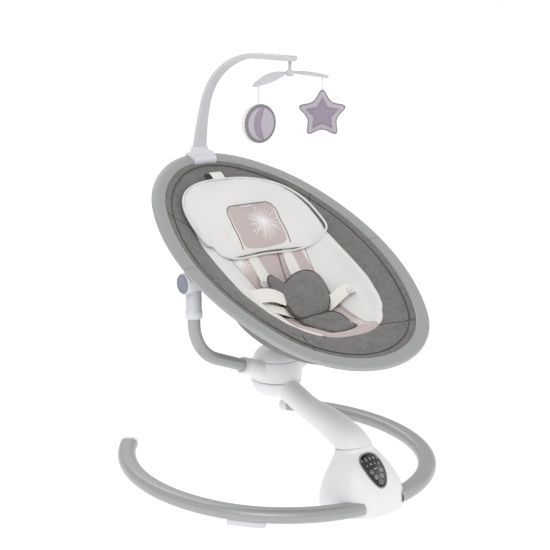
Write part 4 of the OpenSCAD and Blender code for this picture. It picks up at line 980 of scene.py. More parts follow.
@dataclass
class FloorBase:
    """The oval floor tube, the motor pod with its panel, the arm and the still bowl of the hub."""

    finishes: Finishes
    base_reach: float = 322.0
    front_bend: Step = Step(293.0, 55.0)
    rear_bend: Step = Step(363.0, 66.0)
    start_turn: float = 9.0
    tube_w: float = 37.0
    tube_h: float = 26.0
    tube_z: float = 22.0
    cap_bulb: float = 20.0
    cap_lip: float = 1.5
    pod_w: float = 154.0
    pod_d: float = 146.0
    pod_neck: float = 72.0
    pod_h: float = 112.0
    pod_low: float = 3.0
    pod_y: float = -268.0
    neck_y: float = -245.0
    seam_tilt: float = 13.5
    seam_gap: float = 0.9
    shape: tuple[tuple[float, float, float], ...] = (
        (0, 1, 2.6),
        (0.1, 1, 2.6),
        (0.25, 0.965, 2.6),
        (0.4, 0.885, 2.5),
        (0.5, 0.79, 2.4),
        (0.6, 0.67, 2.3),
        (0.7, 0.53, 2.2),
        (0.78, 0.40, 2.1),
        (0.88, 0.22, 2.0),
        (1, 0, 2.0),
        (1.18, -0.10, 2.0),
    )
    arm_r: float = 24.0
    arm_tip: tuple[float, float] = (-42.0, 173.0)
    arm_shape: tuple[tuple[float, float, float, float], ...] = (
        (0, 0, 1, 0),
        (0.079, 0.175, 0.76, 25),
        (0.202, 0.317, 0.56, 47),
        (0.345, 0.444, 0.40, 57),
        (0.512, 0.556, 0.16, 62),
        (0.680, 0.651, 0.02, 64),
        (0.852, 0.841, 0, 62),
        (1, 1, 0, 60),
    )
    bowl_low: float = 153.0
    bowl_top: float = 188.5
    bowl_rim: float = 52.28
    bowl_round: float = 35.5
    panel_size: tuple[float, float] = (53.0, 69.0)
    panel_low_share: float = 0.60
    panel_lean: float = 30.0
    panel_side: float = -4.5
    panel_middle: tuple[float, float] = (-317.5, 88.5)
    bezel_w: float = 2.4

    def tail(self, side: int) -> Matrix:
        """Returns the frame at one end of the floor tube, x pointing out of the tube.

        Args:
            side: 1 for the +X side, -1 for the other.

        Returns:
            The frame.
        """
        start = (
            self.front_bend.radius * sin_deg(self.start_turn),
            self.front_bend.radius * (1 - cos_deg(self.start_turn)) - self.base_reach,
        )
        x, y, turn, _ = Path((self.front_bend, self.rear_bend), start, self.start_turn).stations(50)[-1]
        spot = PLACES.hub() @ Matrix.Translation((x, y, self.tube_z)) @ Matrix.Rotation(
            math.radians(turn), 4, "Z"
        )
        return spot if side > 0 else Matrix.Scale(-1, 4, (1, 0, 0)) @ spot

    def caps(self) -> None:
        """Builds the two bulbs that close the floor tube."""
        for side, name in ((-1, "left"), (1, "right")):
            rings = []
            for k in range(25):
                share = k / 24
                swell = self.cap_lip * math.sqrt(min(1, share / 0.3))
                far = 0 if share < 0.3 else (share - 0.3) / 0.7
                shrink = math.sqrt(max(0.0004, 1 - far**2.2))
                rings.append(
                    [
                        (share * self.cap_bulb, p, q)
                        for p, q in superellipse(
                            (self.tube_w / 2 + swell) * shrink, (self.tube_h / 2 + swell) * shrink, 2.35, 48
                        )
                    ]
                )
            bulb = Sculpt().loft(rings).build(f"cap_{name}", self.tail(side), self.finishes.shell)
            settle(bulb, "base", [f"end_cap_{name}"])

    def pod_point(self, share: float, angle: float, out: float = 0.0) -> Vector:
        """Returns a point of the pod's skin.

        Args:
            share: Height share, 0 at the lower edge and 1 at the neck.
            angle: Angle round the pod.
            out: Distance outside the skin.

        Returns:
            The point in the hub's frame.
        """
        rows = self.shape
        k = max(i for i in range(len(rows) - 1) if rows[i][0] <= share or i == 0)
        k = min(k, len(rows) - 2)
        t = (share - rows[k][0]) / (rows[k + 1][0] - rows[k][0])
        _, width, power = spline(rows, k, t)
        half_x = self.pod_neck / 2 + width * (self.pod_w - self.pod_neck) / 2 + out
        half_y = self.pod_neck / 2 + width * (self.pod_d - self.pod_neck) / 2 + out
        y = self.neck_y + (self.pod_y - self.neck_y) * max(0.0, 1 - (1 - width) ** 2)
        c, s = cos_deg(angle), sin_deg(angle)
        return Vector(
            (
                half_x * rounded(c, 2 / power),
                y + half_y * rounded(s, 2 / power),
                self.pod_low + share * (self.pod_h - self.pod_low),
            )
        )

    def seam_share(self, angle: float, gap: float) -> float:
        """Finds where the tilted seam cuts the pod's skin at an angle, by halving."""
        low, high = 0.7, 1.18
        for _ in range(30):
            middle = (low + high) / 2
            p = self.pod_point(middle, angle)
            rise, run = p.z - self.pod_h, p.y - self.neck_y
            above = rise * cos_deg(self.seam_tilt) + run * sin_deg(self.seam_tilt)
            low, high = (low, middle) if above > -gap else (middle, high)
        return low

    def pod(self) -> bpy.types.Object:
        """Builds the pod's skin up to its seam, with a rounded foot and a lip under the arm."""
        sides, rows = 120, 40
        shares = [self.seam_share(360 * i / sides, self.seam_gap) for i in range(sides)]
        rings: list[Ring] = []
        for inset, lift in ((4.0, 0.0), (1.2, 0.3), (0.0, 1.6)):
            rings.append(
                [
                    tuple(self.pod_point(0, 360 * i / sides, -inset) + Vector((0, 0, lift)))
                    for i in range(sides)
                ]
            )
        for k in range(1, rows + 1):
            rings.append(
                [
                    tuple(self.pod_point(0.03 + (shares[i] - 0.03) * k / rows, 360 * i / sides))
                    for i in range(sides)
                ]
            )
        for inset in (1.0, 6.0):
            rings.append(
                [
                    tuple(self.pod_point(shares[i], 360 * i / sides, -inset) + Vector((0, 0, 0.3)))
                    for i in range(sides)
                ]
            )
        skin = Sculpt().loft(rings).build("pod_skin", PLACES.hub(), self.finishes.shell)
        return settle(skin, "base", ["pod_shell"])

    def arm(self) -> None:
        """Builds the arm and the bowl that it grows into as one smooth form."""
        rings: list[Ring] = []
        for s0, s1, s2, tilt in smooth_rows(self.arm_shape, 5):
            y = self.neck_y + s0 * (self.arm_tip[0] - self.neck_y)
            z = self.pod_h + s1 * (self.arm_tip[1] - self.pod_h)
            r, lean = self.arm_r + s2 * (self.pod_neck / 2 - self.arm_r), self.seam_tilt + tilt
            rings.append(
                [
                    (r * cos_deg(a), y + r * sin_deg(a) * cos_deg(lean), z - r * sin_deg(a) * sin_deg(lean))
                    for a in np.linspace(0, 360, 73)[:-1]
                ]
            )
        trunk = Sculpt().loft(rings).build("arm_trunk", PLACES.hub(), self.finishes.shell)
        turn = [
            (self.bowl_rim - self.bowl_round * (1 - sin_deg(a)), self.bowl_top - self.bowl_round * cos_deg(a))
            for a in range(0, 91, 5)
        ]
        profile = [(0.01, self.bowl_low)] + turn + [(0.01, self.bowl_top)]
        bowl = Sculpt().revolve(profile, 128).build("arm_bowl", PLACES.hub(), self.finishes.shell)
        both = Tools.join("arm_and_bowl", [trunk, bowl])
        Tools.melt(both, 1.6, 16)
        settle(both, "base", ["arm_cover_left", "arm_cover_right", "hub_bowl"])

    def panel_frame(self) -> Matrix:
        """Returns the panel's frame: x across, y up the panel, z out of the pod."""
        y, z = self.panel_middle
        lean = Matrix.Rotation(math.radians(90 - self.panel_lean), 4, "X")
        return PLACES.hub() @ Matrix.Translation((self.panel_side, y, z)) @ lean

    def panel_outline(self, grow: float, count: int = 96) -> list[tuple[float, float]]:
        """Returns the panel's outline, narrower at its foot.

        Args:
            grow: How far it is widened all round.
            count: Number of points.

        Returns:
            The outline in the panel's frame.
        """
        wide = self.panel_size[0] / 2 + grow
        low = wide * self.panel_low_share
        tall = self.panel_size[1] / 2 + grow
        out = []
        for i in range(count):
            c, s = cos_deg(360 * i / count), sin_deg(360 * i / count)
            waist = low + (wide - low) * (1 + s) / 2
            out.append((waist * rounded(c, 0.8), tall * rounded(s, 0.9)))
        return out

    def on_pod(self, tree: BVHTree, x: float, y: float, lift: float) -> Point:
        """Drops a panel point onto the pod.

        Args:
            tree: The pod's surface, in millimetres in the panel's frame.
            x: Place across.
            y: Place up.
            lift: Height over the skin.

        Returns:
            The point in the panel's frame.
        """
        spot, normal, _, _ = tree.ray_cast(Vector((x, y, 60)), Vector((0, 0, -1)))
        if spot is None:
            return (x, y, lift)
        return tuple(spot + normal * lift)

    def panel(self, pod: bpy.types.Object) -> None:
        """Builds the touch panel, its bezel and its legends on the pod's front."""
        tree = surface_tree(pod, self.panel_frame())
        face: list[Ring] = []
        for k in range(15):
            share = max(k / 14, 0.01)
            lift = 0.75 if k < 14 else 0.1
            face.append([self.on_pod(tree, share * x, share * y, lift) for x, y in self.panel_outline(-0.2)])
        glass = Sculpt().loft(face, caps=True).build("panel_glass", self.panel_frame(), self.finishes.gloss)
        settle(glass, "base", ["touch_panel"])
        band: list[Ring] = []
        for grow, lift in (
            (-0.1, -1.2),
            (0.0, 0.7),
            (0.6, 1.15),
            (self.bezel_w - 0.6, 1.1),
            (self.bezel_w, 0.5),
            (self.bezel_w + 0.1, -1.2),
        ):
            band.append([self.on_pod(tree, x, y, lift) for x, y in self.panel_outline(grow)])
        bezel = Sculpt().loft(band, caps=False).build("panel_rim", self.panel_frame(), self.finishes.bezel)
        settle(bezel, "base", ["panel_bezel"])
        self.legends(tree)

    def legends(self, tree: BVHTree) -> None:
        """Draws the plain speed numbers and key marks of the panel."""
        marks: list[bpy.types.Object] = []
        for number in range(5):
            marks.append(
                self.figure(str(number + 1), -17.6 + 8.8 * number, 23.0 - 0.3 * (number - 2) ** 2, 8.0, tree)
            )
        rows = ((-13.5, 10.5, 2.0, 3), (-4.5, 12.0, 2.0, 20), (4.5, 12.0, 2.0, 4), (13.5, 10.5, 2.0, 20))
        keys = (
            (-10.5, -3.0, 3.8, 24),
            (10.5, -3.0, 3.8, 24),
            (-6.5, -14.0, 4.0, 24),
            (6.5, -14.0, 4.0, 24),
            (0.0, -24.5, 4.0, 28),
        )
        for x, y, size, sides in rows + keys:
            marks.append(self.key_ring(x, y, size, sides, tree))
        for x, y, half, tall in (
            (0.0, 2.0, 4.2, 0.7),
            (-10.5, -3.0, 1.5, 0.5),
            (10.5, -3.0, 1.5, 0.5),
            (-6.5, -14.0, 0.5, 1.7),
            (6.5, -14.0, 1.5, 0.5),
        ):
            strip = [[self.on_pod(tree, x + i, y + j, 1.05) for i in (-half, half)] for j in (-tall, tall)]
            marks.append(Sculpt().sheet(strip).build("mark", self.panel_frame(), self.finishes.legend))
        settle(Tools.join("panel_legends", marks), "base")

    def key_ring(self, x: float, y: float, size: float, sides: int, tree: BVHTree) -> bpy.types.Object:
        """Draws the thin ring of one key mark and returns it."""
        rings = [
            [
                self.on_pod(
                    tree, x + r * cos_deg(360 * i / sides + 90), y + r * sin_deg(360 * i / sides + 90), 1.05
                )
                for i in range(sides)
            ]
            for r in (size, size - 0.7)
        ]
        return Sculpt().loft(rings, caps=False).build("mark", self.panel_frame(), self.finishes.legend)

    def figure(self, text: str, x: float, y: float, height: float, tree: BVHTree) -> bpy.types.Object:
        """Draws one plain number on the panel.

        Args:
            text: The number.
            x: Place across.
            y: Place up.
            height: Height of the figure.
            tree: The pod's surface in the panel's frame.

        Returns:
            The figure's mesh.
        """
        curve = bpy.data.curves.new("figure", "FONT")
        curve.body, curve.size, curve.align_x, curve.align_y = text, height, "CENTER", "CENTER"
        maker = new_object("figure", curve)
        mesh = bpy.data.meshes.new_from_object(maker.evaluated_get(bpy.context.evaluated_depsgraph_get()))
        bpy.data.objects.remove(maker)
        points = [self.on_pod(tree, x + v.co.x, y + v.co.y, 1.05) for v in mesh.vertices]
        shape = Sculpt()
        shape.add(points)
        shape.faces = [tuple(p.vertices) for p in mesh.polygons]
        return shape.build("mark", self.panel_frame(), self.finishes.legend, weld=1e-6)

    def dress(self, nodes: dict[str, bpy.types.Object]) -> None:
        """Gives the construction nodes that stay in view their finishes."""
        f = self.finishes
        dress(nodes, dict.fromkeys(("base_tube_left", "base_tube_right"), f.tube))
        dress(nodes, dict.fromkeys(("foot_pads", "pod_bottom_cover"), f.pale))
        dress(
            nodes, dict.fromkeys(("pod_screws", "pod_bracket", "arm_tube", "spindle", "spindle_nut"), f.steel)
        )
        dress(
            nodes, {"main_board": f.board, "speaker": f.dark, "power_inlet": f.dark, "drive_coil": f.copper}
        )

    def make(self, nodes: dict[str, bpy.types.Object]) -> None:
        """Builds and dresses the whole sub-assembly."""
        self.dress(nodes)
        self.caps()
        self.panel(self.pod())
        self.arm()


@dataclass
class Carrier:
    """The turning hub, its two bracket tubes and the recline housings with their buttons."""

    finishes: Finishes
    crown: tuple[float, float, float] = (-26.0, 205.0, 80.0)
    body_low: float = 190.0
    body_top: float = 232.0
    dome_top: float = 258.0
    dome_round: float = 36.0
    boss_z: float = 197.0
    lead: float = 7.0
    rise: float = 22.0
    boss: tuple[float, float, float, float] = (38.0, 92.0, 20.4, 17.0)
    reach: float = 221.6
    pivot_z: float = 426.5
    housing_r: float = 20.4
    housing_in: float = 16.8
    housing_out: float = 25.0
    sleeve: tuple[float, float] = (15.3, 357.0)
    flange: tuple[float, float] = (16.8, 14.0)
    button_r: float = 18.0

    def barrel(self, z: float) -> float:
        """Returns the hub's radius at a height."""
        middle, crown_z, radius = self.crown
        return middle + math.sqrt(radius**2 - (z - crown_z) ** 2)

    def side(self, side: int) -> Matrix:
        """Returns a mirror for the left side, or nothing for the right."""
        return Matrix.Identity(4) if side > 0 else Matrix.Scale(-1, 4, (1, 0, 0))

    def hub(self) -> None:
        """Builds the hub's turning body with its two bosses, and its dome."""
        heights = np.linspace(self.body_low, self.body_top, 24)
        profile = [(0.01, self.body_low)] + [(self.barrel(z), z) for z in heights] + [(0.01, self.body_top)]
        parts = [Sculpt().revolve(profile, 128).build("hub_barrel", PLACES.hub(), self.finishes.shell)]
        near, far, near_r, far_r = self.boss
        for side in (-1, 1):
            place = (
                self.side(side)
                @ PLACES.hub()
                @ Matrix.Translation((0, 0, self.boss_z))
                @ Matrix.Rotation(math.radians(-self.lead), 4, "Z")
                @ Matrix.Rotation(math.radians(-self.rise), 4, "Y")
                @ Matrix.Rotation(math.radians(90), 4, "Y")
            )
            start, end = near / cos_deg(self.rise), far / cos_deg(self.rise)
            line = [(0.01, start), (near_r, start), (far_r, end - 1.5), (far_r - 1.0, end), (0.01, end)]
            parts.append(Sculpt().revolve(line, 96).build("hub_boss", place, self.finishes.shell))
        body = Tools.join("hub_turning_body", parts)
        Tools.melt(body, 1.4, 9)
        settle(body, "carrier", ["hub_body"])
        middle = self.barrel(self.body_top) - self.dome_round + 0.7
        low = math.degrees(
            math.asin((self.body_top + 1.0 - self.dome_top + self.dome_round) / self.dome_round)
        )
        arc = [
            (
                middle + self.dome_round * cos_deg(a),
                self.dome_top - self.dome_round + self.dome_round * sin_deg(a),
            )
            for a in np.linspace(low, 90, 24)
        ]
        rim = arc[0][0]
        lid = [
            (rim - 4, self.body_top + 0.6), (rim - 0.8, self.body_top + 0.6), (rim - 0.1, self.body_top + 0.9)
        ] + arc + [(0.01, self.dome_top)]
        dome = Sculpt().revolve(lid, 128).build("hub_lid", PLACES.hub(), self.finishes.shell)
        settle(dome, "carrier", ["hub_dome"])

    def housings(self) -> None:
        """Builds the recline housings and their sleeves over the bracket tubes."""
        x, y = self.reach * cos_deg(self.lead), -self.reach * sin_deg(self.lead)
        r, out = self.housing_r, self.housing_out
        drum = [
            (0.01, -self.housing_in), (r - 1.2, -self.housing_in), (r, -self.housing_in + 1.2), (r, out - 2.2)
        ]
        drum += [
            (r - 0.6, out - 0.8),
            (r - 1.5, out - 0.2),
            (r - 2.0, out - 0.4),
            (r - 2.1, out - 6),
            (0.01, out - 6),
        ]
        sleeve_r, low = self.sleeve
        flange_r, flange_h = self.flange
        sock = [
            (self.button_r - 5, low),
            (flange_r - 1, low),
            (flange_r, low + 1),
            (flange_r, low + flange_h - 1.2),
        ]
        sock += [
            (flange_r - 0.8, low + flange_h),
            (sleeve_r, low + flange_h + 0.4),
            (sleeve_r, self.pivot_z),
            (0.01, self.pivot_z),
        ]
        for side, name in ((-1, "left"), (1, "right")):
            axis = self.side(side) @ PLACES.hub() @ Matrix.Translation((x, y, self.pivot_z))
            lying = axis @ Matrix.Rotation(math.radians(90), 4, "Y")
            upright = self.side(side) @ PLACES.hub() @ Matrix.Translation((x, y, 0))
            parts = [
                Sculpt().revolve(drum, 96).build("drum", lying, self.finishes.pale),
                Sculpt().revolve(sock, 96).build("sock", upright, self.finishes.pale),
            ]
            housing = Tools.join(f"recline_housing_{name}", parts)
            settle(housing, "carrier", [f"pivot_housing_{name}"])
            b = self.button_r
            face = [
                (0.01, out - 4.5),
                (b - 0.5, out - 4.5),
                (b, out - 4),
                (b, out + 0.6),
                (b - 0.7, out + 1.6),
                (b - 2.0, out + 2.0),
            ]
            face += [(b - 3.4, out + 1.7), (b - 5.0, out + 0.9), (b - 9, out + 0.7), (0.01, out + 0.8)]
            button = Sculpt().revolve(face, 96).build(f"button_{name}", lying, self.finishes.button)
            settle(button, f"button_{name}", [f"recline_button_{name}"])

    def dress(self, nodes: dict[str, bpy.types.Object]) -> None:
        """Gives the construction nodes that stay in view their finishes."""
        f = self.finishes
        springs = ("button_spring_left", "button_spring_right")
        dress(nodes, dict.fromkeys(("bearing_lower", "bearing_upper", *springs), f.steel))
        dress(nodes, dict.fromkeys(("bracket_tube_left", "bracket_tube_right"), f.tube))
        dress(nodes, dict.fromkeys(("boss_collar_left", "boss_collar_right"), f.pale))
        dress(nodes, {"drive_magnets": f.magnet})

    def make(self, nodes: dict[str, bpy.types.Object]) -> None:
        """Builds and dresses the whole sub-assembly."""
        self.dress(nodes)
        self.hub()
        self.housings()


@dataclass(frozen=True)
class SeatForm:
    """The ring's outline and the heights of the seat's soft layers over the ring's plane."""

    half_w: float = 232.5
    band_w: float = 29.0
    side: Step = Step(475.2, 24.1)
    shoulder: Step = Step(284.1, 31.4)
    foot_turn: float = 61.9
    seam_y: float = 3.0
    collar_drop: float = 20.0
    sling_t: float = 4.0
    bucket_drop: float = 118.0
    deepest: float = -76.0
    liner_mid: float = 24.0
    liner_edge: float = 7.0
    liner_drop: float = 60.0
    pillow_mid: float = 156.0
    pillow_half: tuple[float, float] = (157.0, 109.0)
    puff: float = 24.0
    plate: tuple[float, float] = (196.55, 22.0)

    @property
    def foot_r(self) -> float:
        """Radius of the arc at the foot end."""
        return (self.half_w - self.side.radius * (1 - sin_deg(self.foot_turn))) / sin_deg(self.foot_turn)

    @property
    def foot_y(self) -> float:
        """Where the ring's middle line ends at the foot."""
        return self.seam_y - self.side.radius * cos_deg(self.foot_turn) - self.foot_r * (
            1 - cos_deg(self.foot_turn)
        )

    @property
    def head(self) -> Step:
        """Half of the arc at the head end."""
        first, second = 90 + self.side.amount, 90 + self.side.amount + self.shoulder.amount
        radius = self.half_w + self.side.radius * (sin_deg(first) - 1)
        radius += self.shoulder.radius * (sin_deg(second) - sin_deg(first))
        return Step(radius / sin_deg(second), 180 - second)

    @property
    def head_y(self) -> float:
        """Where the ring's middle line ends at the head."""
        return Path((self.side, self.shoulder, self.head), (0, self.seam_y), 90).stations(40)[-1][1]

    @property
    def middle(self) -> float:
        """Middle of the ring's opening."""
        return (self.foot_y + self.head_y) / 2

    @property
    def inner(self) -> tuple[float, float]:
        """Half width and half length of the ring's opening."""
        return self.half_w - self.band_w / 2, (self.head_y - self.foot_y) / 2 - self.band_w / 2

    @property
    def liner_half(self) -> tuple[float, float]:
        """Half width and half length of the liner."""
        return self.inner[0] - 62, self.inner[1] - 59

    def rim(self, inside: float, pitch: float = 9.0) -> list[tuple[float, float]]:
        """Walks round the ring's opening.

        Args:
            inside: Distance inside the ring's inner edge.
            pitch: Rough distance between points.

        Returns:
            The loop of points.
        """
        foot_side = Step(self.side.radius, 90 - self.foot_turn)
        foot = (foot_side, Step(self.foot_r, 2 * self.foot_turn), foot_side)
        head = (
            self.side, self.shoulder, Step(self.head.radius, 2 * self.head.amount), self.shoulder, self.side
        )
        away = self.band_w / 2 + inside
        walk = Path(foot + head, (-self.half_w, self.seam_y), -90).stations(pitch)[:-1]
        return [(x - away * sin_deg(h), y + away * cos_deg(h)) for x, y, h, _ in walk]

    @staticmethod
    def dome(share: float, power: float) -> float:
        """Returns a dome's height at a share of its radius."""
        return 0.0 if share >= 1 else (1 - share * share) ** power

    def along(self, y: float, foot: float, head: float, foot_power: float, head_power: float) -> float:
        """Returns the seat's depth along its length, 1 where it is deepest."""
        if y < self.deepest:
            return 0.0 if y <= foot else cos_deg(
                90 * (self.deepest - y) / (self.deepest - foot)
            ) ** foot_power
        return 0.0 if y >= head else cos_deg(90 * (y - self.deepest) / (head - self.deepest)) ** head_power

    def collar(self, x: float, y: float) -> float:
        """Returns the height of the sloping collar inside the ring."""
        away = math.hypot(x / self.inner[0], (y - self.middle) / self.inner[1])
        return 1 - self.collar_drop * min(1.0, max(0.0, (1 - away) / 0.28))

    def half_at(self, y: float) -> float:
        """Returns the liner's half width at a place along it."""
        share = min(1.0, abs(y - self.liner_mid) / self.liner_half[1])
        return max(1.0, self.liner_half[0] * (1 - share**3) ** (1 / 3))

    def under(self, x: float, y: float) -> float:
        """Returns the height of the sling's underside."""
        share = min(1.0, abs(y - self.middle) / self.inner[1])
        wide = 0.97 * self.inner[0]
        narrow = (wide - self.plate[0] + self.plate[1]) * math.exp(-((y / 60) ** 2))
        half = max(1.0, wide * math.sqrt(1 - share * share) - narrow)
        deep = self.along(y, self.foot_y + self.band_w, self.head_y - self.band_w / 2, 0.7, 1.6)
        return self.collar(x, y) - self.sling_t - self.bucket_drop * deep * self.dome(abs(x) / half, 0.8)

    def inside(self, x: float, y: float) -> float:
        """Returns the height of the sling's inside."""
        long = self.liner_half[1]
        deep = self.along(y, self.liner_mid - long + 14, self.liner_mid + long - 14, 1, 1.8)
        return self.collar(x, y) - self.bucket_drop * deep * self.dome((abs(x) + 12) / self.half_at(y), 1)

    def liner(self, x: float, y: float) -> float:
        """Returns the height of the liner's upper face."""
        deep = self.along(y, self.liner_mid - self.liner_half[1], self.liner_mid + 210, 0.8, 1.3)
        floor = self.liner_edge - self.collar_drop + 1 - self.liner_drop * deep * self.dome(
            abs(x) / self.half_at(y), 0.9
        )
        return max(self.inside(x, y) + self.liner_edge, floor)

    def pillow_edge(self, x: float, y: float) -> float:
        """Returns how far a point lies towards the pillow's rim, 1 at the rim."""
        a, b = self.pillow_half
        p = 2.9
        return ((abs(x) / a) ** p + (abs(y - self.pillow_mid) / b) ** p) ** (1 / p)

    def pillow(self, x: float, y: float) -> float:
        """Returns the height of the pillow's upper face."""
        return self.liner(x, y) + self.liner_edge + self.puff * self.dome(self.pillow_edge(x, y), 0.8)


FORM = SeatForm()
Height = Callable[[float, float], float]
PAD_EASE = 1.35


@dataclass
class SeatRing:
    """The oval ring with its joints, and the plates and pins that carry it."""

    finishes: Finishes

    def make(self, nodes: dict[str, bpy.types.Object]) -> None:
        """Dresses the construction nodes, which stay in view."""
        f = self.finishes
        dress(nodes, dict.fromkeys(("ring_foot", "ring_head"), f.tube))
        dress(nodes, dict.fromkeys(("pivot_plate_left", "pivot_plate_right"), f.pale))
        dress(nodes, {"ring_joints": f.dark, "recline_pins": f.steel})


def curve_through(points: Sequence[Sequence[float]], per: int, loop: bool = False) -> list[list[float]]:
    """Draws a smooth curve through points.

    Args:
        points: The points.
        per: Steps between two of them.
        loop: Whether it closes.

    Returns:
        The finer points.
    """
    if not loop:
        return smooth_rows(points, per)
    around = [points[-1], *points, points[0], points[1]]
    fine = smooth_rows(around, per)
    return fine[per : per * (len(points) + 1)]


def pad_mesh(
    outline: Sequence[Sequence[float]],
    middle: tuple[float, float],
    top: Height,
    bottom: Height,
    rows: int,
    round_power: float = 4.0,
) -> Sculpt:
    """Makes a closed cushion over an outline.

    Args:
        outline: The rim, as a loop.
        middle: The point that the rows close on.
        top: Height of the upper face.
        bottom: Height of the lower face.
        rows: Rows from the rim to the middle.
        round_power: How square the rim is in section.

    Returns:
        The sculpt.
    """
    mx, my = middle

    def ring(share: float, upper: bool) -> Ring:
        out = []
        for x, y in outline:
            px, py = mx + share * (x - mx), my + share * (y - my)
            high, low = top(px, py), bottom(px, py)
            half = (high - low) / 2 * max(0.0, 1 - share**round_power) ** (1 / 2.2)
            centre = (high + low) / 2
            out.append((px, py, centre + (half if upper else -half)))
        return out

    eased = [1 - (1 - k / rows) ** PAD_EASE for k in range(rows + 1)]
    eased[0] = 0.05
    rings = [ring(s, False) for s in eased]
    rings += [ring(s, True) for s in reversed(eased[:-1])]
    return Sculpt().loft(rings)


@dataclass
class SoftGoods:
    """The sling, the printed liner and the head pillow."""

    finishes: Finishes
    welt_in: float = 13.0
    welt_r: float = 1.5
    sling_puff: float = 5.0
    liner_power: float = 2.7
    channel: float = 14.0
    quilting: float = 3.2
    liner_head: float = 0.88
    hem_dent: float = 17.0
    pillow_wide: float = 112.0
    pillow_top: float = 152.0
    pillow_low: float = 66.0
    print_half: float = 59.0
    print_top: float = 161.0
    print_foot: float = 66.0
    print_round: float = 18.0
    print_lean: float = 1.5
    piping_r: float = 2.3
    collar_seams: tuple[tuple[tuple[float, float], tuple[float, float]], ...] = (
        ((72, -226), (150, -242)),
        ((-118, -216), (-122, -262)),
        ((-152, 132), (-190, 186)),
        ((150, 140), (190, 186)),
    )

    def sling_top(self, x: float, y: float) -> float:
        """Returns the height of the sling as sewn: a padded collar, then the hollow."""
        a, b = FORM.inner
        away = (1 - math.hypot(x / a, (y - FORM.middle) / b)) * a
        pad = max(0.0, min(1.0, (away - self.welt_in) / 52))
        puff = self.sling_puff * math.sin(math.pi * pad) ** 0.7 if 0 < pad < 1 else 0.0
        strip = 2.0 * max(0.0, math.sin(math.pi * max(0.0, min(1.0, away / self.welt_in))))
        low = FORM.inside(x, y)
        waves = 0.9 * math.sin(0.045 * x + 0.03 * y) * math.sin(0.031 * y - 0.02 * x) * min(1.0, away / 30)
        return low + puff + strip + waves

    def sling(self) -> None:
        """Builds the heather sling: one sheet inside, one below, a welt and four seams."""
        outer = FORM.rim(-1.5)
        my = FORM.middle

        def ring(share: float, height: Height, lift: float) -> Ring:
            spots = [(share * x, my + share * (y - my)) for x, y in outer]
            return [(x, y, height(x, y) + lift) for x, y in spots]

        tops = [ring(1 - (k / 45) ** 1.25 * 0.998, self.sling_top, 0.0) for k in range(46)]
        lows = [ring(1 - (k / 35) ** 1.1 * 0.998, FORM.under, 0.0 if k else 1.5) for k in range(36)]
        sling = Sculpt().loft(list(reversed(lows)) + tops).build("sling", PLACES.ring(), self.finishes.knit)
        Tools.subdivide(sling)
        settle(sling, "seat", ["seat_bucket"])
        welt = [(x, y, self.sling_top(x, y) + 0.3) for x, y in FORM.rim(self.welt_in, 6.0)]
        piping = Sculpt().tube(welt, self.welt_r, 8, loop=True).build(
            "sling_welt", PLACES.ring(), self.finishes.binding
        )
        settle(piping, "seat")
        seams = Sculpt()
        for start, end in self.collar_seams:
            line = [np.array(start) + (np.array(end) - np.array(start)) * k / 10 for k in range(11)]
            seams.tube([(x, y, self.sling_top(x, y) + 0.1) for x, y in line], 0.9, 6)
        settle(seams.build("sling_seams", PLACES.ring(), self.finishes.binding), "seat")

    def panel_half(self, y: float) -> float:
        """Returns the half width of the liner's middle panel."""
        return 70 + 0.235 * max(0.0, y + 50)

    def seam_away(self, x: float, y: float) -> float:
        """Returns the distance to the liner's nearest seam."""
        vee = 9 + 0.30 * (y + 20)
        lines = [abs(abs(x) - self.panel_half(y))]
        if y > -24:
            lines.append(abs(abs(x) - max(2.0, vee)))
        return min(lines)

    def liner_top(self, x: float, y: float) -> float:
        """Returns the height of the liner's quilted upper face."""
        soft = 1 - math.exp(-((self.seam_away(x, y) / self.channel) ** 2))
        return FORM.liner(x, y) + self.quilting * soft - 1.0

    def liner(self) -> None:
        """Builds the padded liner, blown up by its filling, with its seams."""
        a, b = FORM.liner_half
        outline = [
            (
                x, FORM.liner_mid + (y if y < 0 else y * self.liner_head)
            ) for x, y in superellipse(a + 1, b + 1, self.liner_power, 160)
        ]
        form = pad_mesh(
            outline, (0, FORM.liner_mid - 30), self.liner_top, lambda x, y: FORM.inside(x, y) + 1.5, 40, 9.0
        )
        liner = form.build("liner", PLACES.ring(), self.finishes.liner)
        Tools.inflate(liner, 0.0, 3.0, 4.0)
        Tools.lay_flat(liner, PLACES.ring(), lambda p: (p.x, p.y))
        settle(liner, "seat", ["seat_liner"])
        tree = surface_tree(liner, PLACES.ring())
        seams = Sculpt()
        for side in (-1, 1):
            edge = [(side * self.panel_half(y), y) for y in np.linspace(-228, 120, 60)]
            vee = [(side * max(2.0, 9 + 0.30 * (y + 20)), y) for y in np.linspace(-22, 120, 30)]
            seams.tube([self.drop(tree, x, y, 0.2) for x, y in vee], 1.3, 8)
            seams.tube([self.drop(tree, x, y, -0.2) for x, y in edge], 0.7, 6)
        settle(seams.build("liner_seams", PLACES.ring(), self.finishes.seam), "seat")

    @staticmethod
    def drop(tree: BVHTree, x: float, y: float, lift: float) -> Point:
        """Drops a point of the ring's plane onto a surface.

        Args:
            tree: The surface.
            x: Place across.
            y: Place along.
            lift: Height over the surface.

        Returns:
            The point.
        """
        spot, normal, _, _ = tree.ray_cast(Vector((x, y, 120)), Vector((0, 0, -1)))
        if spot is None:
            return (x, y, FORM.liner(x, y) + lift)
        up = normal if normal.z > 0 else -normal
        return tuple(spot + lift * up)

